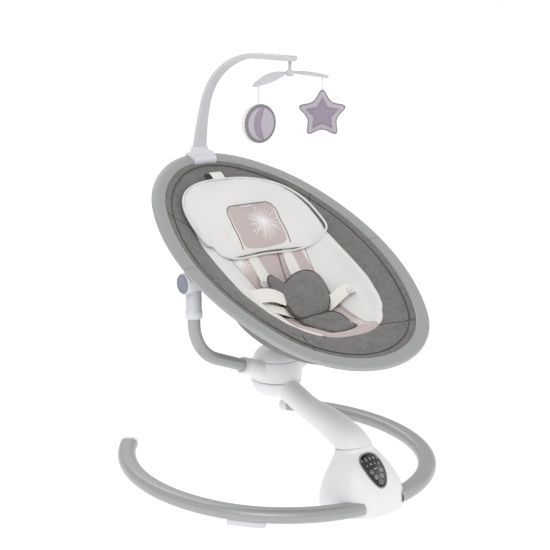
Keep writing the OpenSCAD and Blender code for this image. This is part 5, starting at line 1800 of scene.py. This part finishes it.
    def pillow_outline(self, shrink: float = 0.0) -> list[tuple[float, float]]:
        """Returns the pillow's rim: rounded above, its hem drawn up in the middle."""
        a, top, low = FORM.pillow_half[0] - shrink, self.pillow_top - shrink, self.pillow_low - shrink
        upper = [p for p in superellipse(a, top, 2.3, 192) if p[1] >= 0]
        lower = [p for p in superellipse(a, low, 4.5, 192) if p[1] < 0]
        out = [(x, self.pillow_wide + y) for x, y in upper]
        for x, y in lower:
            out.append((x, self.pillow_wide + y + self.hem_dent * math.exp(-((x / 75) ** 2)) * -y / low))
        return out

    def pillow(self) -> None:
        """Builds the head pillow with its printed panel, rim piping and the seam round the panel."""
        def low(x: float, y: float) -> float:
            return FORM.liner(x, y) + 5.5

        form = pad_mesh(self.pillow_outline(2.0), (0, FORM.pillow_mid - 4), FORM.pillow, low, 30, 5.0)
        pillow = form.build("pillow", PLACES.ring(), self.finishes.pillow)
        Tools.inflate(pillow, 0.0, 4.0, 8.0)
        Tools.lay_flat(pillow, PLACES.ring(), lambda p: (p.x, p.y))
        settle(pillow, "seat", ["head_pillow"])
        rim = [
            (x, y, FORM.liner(x, y) + 5.5 + FORM.liner_edge / 2 + 0.2)
            for x, y in self.pillow_outline(1.0)
        ]
        piping = Sculpt().tube(rim, self.piping_r, 10, loop=True).build(
            "pillow_piping", PLACES.ring(), self.finishes.cotton
        )
        settle(piping, "seat")
        tree = surface_tree(pillow, PLACES.ring())
        corner, bend = self.print_round, self.print_top - self.print_round
        left = corner - self.print_half
        arc = [(left - corner * cos_deg(t), bend + corner * sin_deg(t)) for t in range(0, 91, 10)]
        side = [(-self.print_half - self.print_lean, y) for y in np.linspace(self.print_foot, bend, 16)]
        line = side + arc + [(-x, y) for x, y in reversed(side + arc)]
        seam = Sculpt().tube([self.drop(tree, x, y, 0.1) for x, y in line], 1.1, 8)
        settle(seam.build("pillow_seam", PLACES.ring(), self.finishes.seam), "seat")

    def tab(self) -> None:
        """Builds the pillow's tab: a folded white webbing over the collar with its dark end."""
        top, bottom = Sculpt(), Sculpt()
        line = [(-6 + 2.5 * k / 12, 250 + 38 * k / 12) for k in range(13)]
        for sculpt, half, lift, slide, span in (
            (top, 15.0, 5.4, 3.0, line), (bottom, 16.0, 2.6, -7.0, line[3:])
        ):
            rings = []
            for k, (x, y) in enumerate(span):
                z = self.sling_top(x, y) + lift + 3 * math.sin(math.pi * k / (len(span) - 1))
                rings.append(
                    [(x + slide + i, y, z + j) for i, j in ((-half, 0), (half, 0), (half, 1.6), (-half, 1.6))]
                )
            sculpt.loft(rings)
        white = top.build("tab_webbing", PLACES.ring(), self.finishes.satin)
        Tools.bevel(white, 0.5, 2)
        settle(white, "seat", ["pillow_tab"])
        dark = bottom.build("tab_end", PLACES.ring(), self.finishes.dark)
        settle(dark, "seat")

    def make(self) -> None:
        """Builds the sling, liner, pillow and tab."""
        self.sling()
        self.liner()
        self.pillow()
        self.tab()


@dataclass
class Harness:
    """The straps, the sliders, the buckle with its padded cover and the crotch flap."""

    finishes: Finishes
    webbing_t: float = 1.8
    cover_z: float = -44.0
    cover_t: float = 8.0
    buckle_z: float = -60.0
    left_shoulder: tuple[Point, ...] = (
        (-34, 92, 6), (-33, 62, 4), (-33, 34, 5), (-38, 8, 8), (-46, -14, 13), (-54, -34, 14)
    )
    right_shoulder: tuple[Point, ...] = (
        (64, 92, 6), (57, 62, 4), (49, 34, 5), (42, 8, 7), (37, -12, 11), (32, -40, 14)
    )
    left_waist: tuple[Point, ...] = (
        (-120, -66, 1), (-111, -66, 9), (-96, -68, 19), (-78, -72, 26), (-58, -78, 26), (-34, -84, 20)
    )
    left_under: tuple[Point, ...] = (
        (-108, -86, 2), (-96, -90, 5), (-80, -96, 9), (-62, -104, 11), (-46, -110, 9)
    )
    right_waist: tuple[Point, ...] = (
        (30, -110, 12), (50, -106, 17), (70, -99, 21), (90, -94, 21), (106, -92, 14), (115, -90, 3)
    )
    cover: tuple[tuple[float, float], ...] = (
        (-44, -55), (-20, -37), (9, -21), (35, -13), (58, -13), (71, -27), (69, -56),
        (57, -86), (39, -112), (18, -131), (-12, -136), (-43, -136), (-54, -127), (-57, -108), (-53, -80),
    )
    tail: tuple[tuple[float, float], ...] = (
        (-54, -20), (-44, -15), (-36, -25), (-27, -42), (-30, -58), (-46, -62), (-60, -56), (-60, -38)
    )
    flap: tuple[tuple[float, float], ...] = (
        (-44, -128), (-10, -126), (22, -128), (43, -136), (52, -156), (48, -182), (38, -197), (14, -201),
        (-12, -202), (-24, -184), (-34, -164), (-50, -146),
    )

    def ribbon(
        self, line: Sequence[Sequence[float]], half: float, bow: float = 0.0, lean: float = 0.0
    ) -> Sculpt:
        """Lays a strap along a line of x, y and height over the liner.

        Args:
            line: The strap's middle line.
            half: Half width of the strap.
            bow: How far its middle rises over its edges.
            lean: Slope of the strap across its width.

        Returns:
            The sculpt.
        """
        fine = curve_through(line, 8)
        rings: list[Ring] = []
        steps = (-1, -0.97, -0.6, -0.2, 0.2, 0.6, 0.97, 1)
        for i, (x, y, h) in enumerate(fine):
            ahead, behind = fine[min(i + 1, len(fine) - 1)], fine[max(i - 1, 0)]
            way = Vector((ahead[0] - behind[0], ahead[1] - behind[1], 0)).normalized()
            left = Vector((-way.y, way.x, 0))
            base = FORM.liner(x, y) + h
            row = [
                (x + s * half * left.x, y + s * half * left.y, base + bow * (1 - s * s) + lean * s * half)
                for s in steps
            ]
            top = [
                (p[0], p[1], p[2] + self.webbing_t * (0.5 if abs(s) == 1 else 1))
                for s, p in zip(steps, row)
            ]
            rings.append(row + list(reversed(top)))
        return Sculpt().loft(rings)

    def straps(self) -> None:
        """Builds the two shoulder straps and the two waist straps."""
        f = self.finishes
        shoulders = ((self.left_shoulder, 14.5, 1.5, -0.12), (self.right_shoulder, 13.0, 1.2, 0.06))
        waist = (
            (self.left_waist, 17.0, 1.5, 0.16),
            (self.left_under, 12.0, 0.6, 0.0),
            (self.right_waist, 13.0, 1.0, 0.12),
        )
        for name, node, lines in (
            ("straps_over_shoulders", "shoulder_straps", shoulders),
            ("straps_round_waist", "waist_straps", waist),
        ):
            parts = [self.ribbon(*line).build("strap", PLACES.ring(), f.satin) for line in lines]
            settle(Tools.subdivide(Tools.join(name, parts)), "seat", [node])

    def sliders(self) -> None:
        """Builds the four adjusters: frames that the straps are threaded through."""
        parts = []
        spots = (
            (-50, -24, 17.5, 70, 14.0),
            (35, -26, 15.5, 76, 14.0),
            (-100, -66, 15.0, 14, 13.0),
            (98, -93, 20.0, 170, 12.0),
        )
        for x, y, lift, turn, half in spots:
            place = (
                PLACES.ring()
                @ Matrix.Translation((x, y, FORM.liner(x, y) + lift))
                @ Matrix.Rotation(math.radians(turn), 4, "Z")
            )
            outer, inner = superellipse(7.0, half + 3.5, 5, 48), superellipse(3.6, half, 5, 48)
            rings = [
                [(p, q, z) for p, q in line]
                for line, z in ((inner, -1.2), (outer, -1.2), (outer, 1.2), (inner, 1.2), (inner, -1.2))
            ]
            frame_part = Sculpt().loft(rings, caps=False).build("slider", place, self.finishes.pale)
            bar = Sculpt().loft(
                [[(p, y0, q) for p, q in superellipse(1.2, 1.1, 3, 16)] for y0 in (-half - 1, half + 1)]
            )
            parts += [Tools.bevel(frame_part, 0.5, 2), bar.build("slider_bar", place, self.finishes.pale)]
        settle(Tools.join("strap_adjusters", parts), "seat", ["strap_sliders"])

    def buckle(self) -> None:
        """Builds the buckle body and the two tongues that go into it; the left tongue is drawn large and dark
        so that it fills the hollow left of the cover with painted shade as well as buckle plastic.
        """
        parts = []
        for x, y, half_x, half_y, low, height, power in (
            (0.0, -86.0, 33.0, 23.0, 0.0, 13.0, 4.0),
            # left tongue: far larger than a real tongue, a dark block laid into the hollow between the waist
            # strap and the crotch flap, part buckle plastic and part painted shade
            (-60.0, -98.0, 34.0, 19.0, -1.0, 9.0, 3.0),
            (52.0, -98.0, 24.0, 15.0, 2.0, 8.0, 3.0),
        ):
            rings = []
            for grow, z in ((-2.0, 0.0), (0.0, 0.15), (0.0, 0.8), (-1.2, 0.97), (-3.0, 1.0)):
                rings.append(
                    [
                        (x + p, y + q, self.buckle_z + low + z * height)
                        for p, q in superellipse(half_x + grow, half_y + grow, power, 64)
                    ]
                )
            parts.append(Sculpt().loft(rings).build("buckle_and_shade_part", PLACES.ring(), self.finishes.dark))
        settle(Tools.join("harness_buckle_and_painted_shade", parts), "seat", ["buckle"])

    def leaf(
        self,
        name: str,
        outline: Sequence[tuple[float, float]],
        middle: tuple[float, float],
        low: Height,
        thick: float,
        crown: float,
        binding_r: float,
    ) -> list[bpy.types.Object]:
        """Builds one padded heather piece with its bound edge.

        Args:
            name: Name of the piece.
            outline: Points that its rim passes.
            middle: A point well inside.
            low: Height of its lower face.
            thick: Thickness at the rim.
            crown: How much thicker it is in the middle.
            binding_r: Radius of the bound edge.

        Returns:
            The pad and its binding.
        """
        rim = [tuple(p) for p in curve_through(outline, 8, loop=True)]
        far = max(math.dist(p, middle) for p in rim)
        pad = pad_mesh(
            rim,
            middle,
            lambda x,
            y: low(x, y) + thick + crown * FORM.dome(min(1.0, math.dist((x, y), middle) / far), 0.8),
            low,
            14,
            6.0,
        )
        body = pad.build(name, PLACES.ring(), self.finishes.knit)
        if not name.endswith("tail"):
            Tools.inflate(body, 3.0, 2.0, 2.5)
        edge = [(x, y, low(x, y) + thick / 2) for x, y in rim]
        bound = Sculpt().tube(edge, binding_r, 10, loop=True).build(
            f"{name}_binding", PLACES.ring(), self.finishes.binding
        )
        return [body, bound]

    def covers(self) -> None:
        """Builds the buckle cover with its tail and the crotch flap below it."""
        def cover_low(x: float, y: float) -> float:
            return self.cover_z - 5.0 * ((x / 75) ** 2) + 0.04 * (y + 80)

        def tail_low(x: float, y: float) -> float:
            return cover_low(x, y) + 1.0 + 0.16 * max(0.0, y + 60)

        def flap_low(x: float, y: float) -> float:
            share = min(1.0, max(0.0, (-130 - y) / 60))
            near = self.cover_z - 6.0
            return near + (FORM.liner(x, y) + 3.0 - near) * share * share

        for form, stands_for, filling in (
            (("cover_pad", self.cover, (8, -78), cover_low, self.cover_t, 5.0, 2.6), ["buckle_cover"], 0.5),
            (("cover_tail", self.tail, (-45, -40), tail_low, 5.0, 1.5, 1.8), [], 0.4),
            (("crotch_flap", self.flap, (4, -165), flap_low, 7.0, 3.0, 2.2), ["crotch_strap"], 0.5),
        ):
            pad, bound = self.leaf(*form)
            settle(pad, "seat", stands_for)
            settle(bound, "seat")

    def make(self) -> None:
        """Builds the whole harness."""
        self.straps()
        self.sliders()
        self.buckle()
        self.covers()


@dataclass
class ToyBar:
    """The white bar over the seat, the clamp at its foot and the stem at its tip."""

    finishes: Finishes
    steps: tuple[Step, ...] = (Step(436, 15.3), Step(142, 35.8), Step(228, 33.7), Step(0, 121))
    foot_ahead: float = 8.9
    foot_over: float = 3.0
    heading: float = 67.4
    base_w: float = 36.0
    tip_w: float = 23.0
    thick: float = 11.0
    taper: float = 150.0
    nose: float = 8.0
    clamp: tuple[float, float, float] = (62.0, 39.0, 26.0)
    socket: tuple[float, float, float] = (40.0, 16.5, 18.0)
    stem_r: float = 3.0
    stem_length: float = 31.0
    stem_bite: float = 2.5
    head_r: float = 6.0
    head_t: float = 2.4

    def section(self, s: float, length: float) -> tuple[float, float]:
        """Returns the bar's half width and half thickness at a distance along it."""
        end = math.sqrt(
            max(0.03, 1 - ((s - length + self.nose) / self.nose) ** 2)
        ) if s > length - self.nose else 1.0
        wide = self.base_w + (
            self.tip_w - self.base_w
        ) * sin_deg(90 * s / self.taper) if s < self.taper else self.tip_w
        return wide / 2 * end, self.thick / 2 * end

    def bar(self) -> None:
        """Builds the bar: crowned outside, with a shallow channel along its inner face."""
        path = Path(
            self.steps, (FORM.head_y + self.foot_ahead, PLACES.ring_rise + self.foot_over), self.heading
        )
        walk = path.stations(6.0)
        body = [p for p in walk if p[3] < path.length - self.nose - 2]
        x, y, h, _ = walk[-1]
        tip = [
            (x - b * cos_deg(h), y - b * sin_deg(h), h, path.length - b)
            for b in (8, 6, 4, 2.4, 1.2, 0.4, 0)
        ]
        rings: list[Ring] = []
        for y, z, h, s in body + tip:
            a, b = self.section(s, path.length)
            ring = []
            for p, q in superellipse(a, b, 3.4, 64):
                across = p / a
                hollow = 1.1 * max(0.0, 1 - (across / 0.55) ** 4) if q > 0 and s < path.length - 20 else 0.0
                q -= hollow * min(1.0, (path.length - 20 - s) / 30) if hollow else 0.0
                ring.append((p, y - q * sin_deg(h), z + q * cos_deg(h)))
            rings.append(ring)
        bar = Sculpt().loft(rings).build("arch_bar", PLACES.seat(), self.finishes.arch)
        settle(bar, "seat", ["toy_arch"])

    def clamp_body(self) -> None:
        """Builds the clamp that grips the ring, with the socket that the bar plugs into."""
        length, wide, tall = self.clamp
        radius = FORM.head.radius
        half_turn = math.degrees(length / 2 / radius)
        rings: list[Ring] = []
        for k in range(25):
            share = -1 + k / 12
            shrink = 1 - 0.10 * abs(share) ** 10
            angle = 90 + share * half_turn
            rings.append(
                [
                    (
                        (radius + p) * cos_deg(angle),
                        FORM.head_y - radius + (radius + p) * sin_deg(angle),
                        PLACES.ring_rise + q,
                    )
                    for p, q in superellipse(wide / 2 * shrink, tall / 2 * shrink, 3.6, 48)
                ]
            )
        parts = [Sculpt().loft(rings).build("clamp_grip", PLACES.seat(), self.finishes.pale)]
        foot = Vector((0, FORM.head_y + self.foot_ahead, PLACES.ring_rise + self.foot_over))
        way = Vector((0, cos_deg(self.heading), sin_deg(self.heading)))
        out = Vector((0, -sin_deg(self.heading), cos_deg(self.heading)))
        collar: list[Ring] = []
        a, b, tall = self.socket
        for s, grow in (
            (0, 3.0), (6, 2.4), (11, 1.0), (15, 0.3), (tall, 0.0), (tall + 1.2, -0.6), (tall + 1.5, -1.6)
        ):
            centre = foot + way * s
            collar.append(
                [
                    tuple(centre + Vector((p, 0, 0)) + out * q)
                    for p, q in superellipse(a / 2 + grow, b / 2 + grow, 3.4, 64)
                ]
            )
        parts.append(Sculpt().loft(collar).build("clamp_socket", PLACES.seat(), self.finishes.pale))
        clamp = Tools.join("ring_clamp", parts)
        Tools.melt(clamp, 1.2, 4)
        settle(clamp, "seat", ["bar_clamp"])

    def stem(self) -> None:
        """Builds the stem that hangs from the bar's tip."""
        low = -self.thick / 2 + self.stem_bite - self.stem_length
        r, head = self.stem_r, self.head_r
        line = [
            (0.01, low),
            (head - 0.5, low),
            (head, low + 0.5),
            (head, low + self.head_t - 0.4),
            (head - 0.6, low + self.head_t),
        ]
        line += [
            (r + 0.8, low + self.head_t + 0.3),
            (r, low + self.head_t + 1.2),
            (r, low + self.stem_length),
            (0.01, low + self.stem_length),
        ]
        stem = Sculpt().revolve(line, 64).build("hanging_stem", PLACES.stem(), self.finishes.arch)
        settle(stem, "seat", ["drop_stem"])

    def make(self) -> None:
        """Builds the bar, its clamp and its stem."""
        self.bar()
        self.clamp_body()
        self.stem()


@dataclass
class Mobile:
    """The turning cross-bar with a padded moon and a padded star on strings."""

    finishes: Finishes
    moon_reach: float = 90.0
    star_reach: float = 98.0
    moon_x: float = -75.0
    star_x: float = 82.0
    bar_mid: float = -27.1
    blade_t: float = 3.6
    blade_lean: float = 52.0
    disc: tuple[float, float] = (15.0, 9.0)
    string_r: float = 1.3
    string_over: float = 3.0
    moon_drop: float = 44.0
    star_drop: float = 34.0
    moon_r: float = 38.0
    moon_back: float = 22.0
    toy_t: float = 20.0
    star_r: float = 46.0
    star_inner: float = 0.50
    star_turn: float = -38.0

    def blade_z(self, x: float) -> float:
        """Returns the height of the cross-bar's middle at a distance from its hub."""
        fall = 22 * (-x / self.moon_reach) ** 1.6 if x < 0 else 13 * (x / self.star_reach) ** 1.6
        return self.bar_mid - fall

    def blade(self) -> None:
        """Builds the cross-bar: a leaf on each side of a small hub."""
        rings: list[Ring] = []
        for k in range(81):
            f = -1 + k / 40
            x = f * (self.moon_reach if f < 0 else self.star_reach)
            share = min(1.0, abs(f) * 0.92)
            wide = 3.8 + (6.4 if f < 0 else 1.2) * math.sin(math.pi * share) ** 2
            wide *= math.sqrt(max(0.02, 1 - ((abs(f) - 0.9) / 0.1) ** 2)) if abs(f) > 0.9 else 1.0
            turn = self.blade_lean * min(1.0, abs(f) / 0.25)
            rings.append(
                [
                    (
                        x,
                        p * cos_deg(turn) - q * sin_deg(turn),
                        self.blade_z(x) + p * sin_deg(turn) + q * cos_deg(turn),
                    )
                    for p, q in superellipse(wide, self.blade_t / 2, 2.4, 32)
                ]
            )
        parts = [Sculpt().loft(rings).build("blade", PLACES.stem(), self.finishes.arch)]
        r, tall = self.disc[0] / 2, self.disc[1]
        low = self.bar_mid - tall / 2
        hub = [
            (0.01, low),
            (r - 1, low),
            (r, low + 1),
            (r - 0.4, low + tall - 1.2),
            (r - 1.4, low + tall),
            (0.01, low + tall),
        ]
        parts.append(Sculpt().revolve(hub, 64).build("blade_hub", PLACES.stem(), self.finishes.arch))
        for x in (self.moon_x, self.star_x):
            top = self.blade_z(x) + self.blade_t / 2
            peg = [(0.01, top - 1), (2.6, top - 1), (2.6, top + 0.8), (1.8, top + 1.6), (0.01, top + 1.8)]
            place = PLACES.stem() @ Matrix.Translation((x, 0, 0))
            parts.append(Sculpt().revolve(peg, 32).build("peg", place, self.finishes.arch))
        bar = Tools.join("mobile_bar", parts)
        settle(bar, "mobile", ["cross_bar"])

    def strings(self) -> None:
        """Builds the taut strings that the toys hang from."""
        for x, drop, body in ((self.moon_x, self.moon_drop, "moon"), (self.star_x, self.star_drop, "star")):
            top = self.blade_z(x) + self.string_over
            line = [(x, 0, top - drop * k / 12) for k in range(13)]
            string = Sculpt().tube(line, self.string_r, 10).build(
                f"{body}_thread", PLACES.stem(), self.finishes.string
            )
            settle(string, body, [f"{body}_string"])

    def moon(self) -> None:
        """Builds the moon: a white cushion, a scalloped felt, a lilac face and a crescent."""
        z = self.blade_z(self.moon_x) + self.string_over - self.moon_drop - self.moon_r + 2.5
        place = PLACES.stem() @ Matrix.Translation((self.moon_x, 0, z)) @ Matrix.Rotation(
            math.radians(90), 4, "X"
        )
        f, r, half = self.finishes, self.moon_r, self.toy_t / 2
        profile = []
        for a in range(2, 179, 4):
            deep = half if a > 90 else self.moon_back
            profile.append(((r - 0.8) * sin_deg(a) ** 0.75, -deep * cos_deg(a)))
        cushion = Sculpt().revolve(profile, 96).build("moon_cushion", place, f.cotton)
        settle(cushion, "moon", ["moon_toy"])

        def front(x: float, y: float) -> float:
            away = min(0.999, math.hypot(x, y) / r)
            return half * math.sqrt(1 - away**2.6) * 0.93

        scallops = 30
        felt: list[Ring] = []
        for share in (0.55, 0.8, 0.92, 1.0):
            ring = []
            for i in range(240):
                a = 360 * i / 240
                wave = 0.9 * abs(sin_deg(a * scallops / 2)) - 0.5
                d = share * (r - 1.2 + wave)
                x, y = d * cos_deg(a), d * sin_deg(a)
                ring.append((x, y, front(x * 0.93, y * 0.93) + 0.9))
            felt.append(ring)
        edge = Sculpt().loft(felt, caps=False).build("moon_edge", place, f.felt)
        self.thicken(edge, 1.2)
        settle(edge, "moon")
        disc = [((r - 1.6) * cos_deg(a), (r - 1.6) * sin_deg(a)) for a in range(0, 360, 4)]
        face = self.patch(disc, lambda x, y: front(x, y) + 1.6)
        settle(face.build("moon_face", place, f.lilac), "moon")
        outer = [(5 - 24 * cos_deg(a), 30 * sin_deg(a)) for a in range(-90, 91, 6)]
        inner = [(5 - 9 * cos_deg(a), 30 * sin_deg(a)) for a in range(84, -85, -6)]
        crescent = self.patch(outer + inner, lambda x, y: front(x, y) + 2.3)
        settle(crescent.build("moon_crescent", place, f.mauve), "moon")

    @staticmethod
    def patch(outline: Sequence[tuple[float, float]], height: Height) -> Sculpt:
        """Makes a thin appliqué over a face, following its height."""
        middle = tuple(np.mean(np.array(outline), axis=0))
        rings = []
        for share, lift in (
            (1.0, -1.2), (1.0, -0.3), (0.97, 0.0), (0.8, 0.1), (0.6, 0.1), (0.4, 0.1), (0.2, 0.1)
        ):
            ring = []
            for x, y in outline:
                px, py = middle[0] + share * (x - middle[0]), middle[1] + share * (y - middle[1])
                ring.append((px, py, height(px, py) + lift))
            rings.append(ring)
        return Sculpt().loft(rings)

    @staticmethod
    def thicken(thing: bpy.types.Object, thick: float) -> None:
        """Gives a sheet its thickness in millimetres."""
        modifier = thing.modifiers.new("sheet", "SOLIDIFY")
        modifier.thickness, modifier.offset = thick * MM, -1
        Tools.smooth_faces(Tools.apply(thing))

    def star_line(self, radius: float, corner: float, rounds: int = 3) -> list[tuple[float, float]]:
        """Draws a five-pointed star.

        Args:
            radius: Radius through the points.
            corner: Share of each side that the rounding takes.
            rounds: How often the corners are cut.

        Returns:
            The loop of points.
        """
        line = [
            (
                (radius if i % 2 == 0 else radius * self.star_inner) * cos_deg(90 + 36 * i),
                (radius if i % 2 == 0 else radius * self.star_inner) * sin_deg(90 + 36 * i),
            )
            for i in range(10)
        ]
        for _ in range(rounds):
            cut = []
            for (ax, ay), (bx, by) in zip(line, line[1:] + line[:1]):
                near, far = 1 - corner, corner
                cut += [
                    (near * ax + far * bx, near * ay + far * by), (far * ax + near * bx, far * ay + near * by)
                ]
            line, corner = cut, 0.25
        return line

    def star(self) -> None:
        """Builds the star: a padded body with a grey edge, and a stitched inner star."""
        z = self.blade_z(self.star_x) + self.string_over - self.star_drop - self.star_r + 2.0
        place = (
            PLACES.stem()
            @ Matrix.Translation((self.star_x, 0, z))
            @ Matrix.Rotation(math.radians(self.star_turn), 4, "Z")
            @ Matrix.Rotation(math.radians(90), 4, "X")
        )
        f, half = self.finishes, self.toy_t / 2
        line = self.star_line(self.star_r + 7.0, 0.2)

        def ring(share: float, side: float) -> Ring:
            tall = side * half * 0.95 * (1 - share**2.4) ** 0.5
            return [(share * x, share * y, tall) for x, y in line]

        shares = [0.02, 0.15, 0.3, 0.45, 0.6, 0.72, 0.82, 0.9, 0.96, 1.0]
        body = Sculpt().loft([ring(s, -1) for s in shares] + [ring(s, 1) for s in reversed(shares[:-1])])
        star = Tools.subdivide(body.build("star_body", place, f.lilac))
        settle(star, "star", ["star_toy"])
        edge = Sculpt().tube(
            [(x, y, 0.0) for x, y in line], 1.5, 8, loop=True
        ).build("star_edge", place, f.felt)
        settle(edge, "star")
        tree = surface_tree(star, place)

        def over(x: float, y: float) -> float:
            spot = tree.ray_cast(Vector((x, y, 40)), Vector((0, 0, -1)))[0]
            return spot.z if spot else 0.0

        inner = self.patch(self.star_line(self.star_r * 0.76, 0.05, 2), lambda x, y: over(x, y) + 2.0)
        settle(inner.build("star_middle", place, f.mauve), "star")
        stitches = Sculpt()
        path = self.star_line(self.star_r * 0.64, 0.05)
        for i in range(0, len(path), 2):
            (ax, ay), (bx, by) = path[i], path[(i + 1) % len(path)]
            stitches.tube([(ax, ay, over(ax, ay) + 2.4), (bx, by, over(bx, by) + 2.4)], 0.35, 6)
        settle(stitches.build("star_stitches", place, f.felt), "star")

    def make(self) -> None:
        """Builds the cross-bar, the strings and the toys."""
        self.blade()
        self.strings()
        self.moon()
        self.star()


@dataclass
class Studio:
    """A white sweep under soft lights, and the camera."""

    eye: Point = (-1.5334, -1.9469, 0.9857)
    aim: Point = (-0.0024, 0.0308, 0.4184)
    lens: float = 83.1
    shift: float = -0.0118
    sky: float = 0.7
    backdrop: float = 1.0
    floor_half: float = 60.0
    floor_tone: float = 0.42
    floor_glow: float = 0.80

    def camera(self) -> None:
        """Sets the camera."""
        data = bpy.data.cameras.new("camera")
        data.lens, data.sensor_width, data.shift_y = self.lens, 36.0, self.shift
        data.clip_end = 50
        eye = new_object("camera", data)
        eye.location = self.eye
        eye.rotation_euler = (Vector(self.aim) - Vector(self.eye)).to_track_quat("-Z", "Y").to_euler()
        bpy.context.scene.camera = eye

    def softbox(self, name: str, spot: Point, size: float, power: float) -> None:
        """Adds a square soft light that looks at the middle of the swing."""
        data = bpy.data.lights.new(name, "AREA")
        data.shape, data.size, data.energy = "SQUARE", size, power
        lamp = new_object(name, data)
        lamp.location = spot
        lamp.rotation_euler = (Vector((0, 0, 0.4)) - Vector(spot)).to_track_quat("-Z", "Y").to_euler()

    def surroundings(self) -> None:
        """Makes the sky: plain light for surfaces, white for the eye."""
        world = bpy.data.worlds.new("surroundings")
        bpy.context.scene.world = world
        world.use_nodes = True
        tree = world.node_tree
        g = Graph(tree)
        seen = g.node("ShaderNodeLightPath").outputs["Is Camera Ray"]
        level = g.math("ADD", g.math("MULTIPLY", seen, self.backdrop - self.sky), self.sky)
        ground = tree.nodes["Background"]
        ground.inputs["Color"].default_value = (1, 1, 1, 1)
        tree.links.new(level, ground.inputs["Strength"])

    def floor(self) -> None:
        """Lays a white floor that keeps only the faint shadows under the base."""
        mesh = bpy.data.meshes.new("floor")
        half = self.floor_half
        mesh.from_pydata(
            [(-half, -half, 0), (half, -half, 0), (half, half, 0), (-half, half, 0)], [], [(0, 1, 2, 3)]
        )
        floor = new_object("floor", mesh)
        material = bpy.data.materials.new("white_floor")
        material.use_nodes = True
        surface = material.node_tree.nodes["Principled BSDF"]
        surface.inputs["Base Color"].default_value = (*[self.floor_tone] * 3, 1)
        surface.inputs["Roughness"].default_value = 0.9
        surface.inputs["Specular IOR Level"].default_value = 0.0
        surface.inputs["Emission Color"].default_value = (1, 1, 1, 1)
        surface.inputs["Emission Strength"].default_value = self.floor_glow
        mesh.materials.append(material)

    def make(self) -> None:
        """Sets up the whole studio."""
        self.surroundings()
        self.floor()
        self.softbox("key", (-2.2, -1.6, 2.6), 1.8, 26.0)
        self.softbox("fill", (2.4, -1.8, 1.6), 1.8, 9.0)
        self.softbox("rim", (0.6, 2.4, 2.4), 1.6, 14.0)
        self.camera()


def main() -> None:
    """Builds the looks of the whole swing over its construction model."""
    logging.basicConfig(level=logging.INFO, format="%(name)s: %(message)s")
    bpy.context.scene.view_settings.view_transform = "Standard"
    nodes = frame["nodes"]
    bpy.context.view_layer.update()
    finishes = Finishes()
    FloorBase(finishes).make(nodes)
    Carrier(finishes).make(nodes)
    SeatRing(finishes).make(nodes)
    SoftGoods(finishes).make()
    Harness(finishes).make()
    ToyBar(finishes).make()
    Mobile(finishes).make()
    Studio().make()


if __name__ == "__main__":
    main()
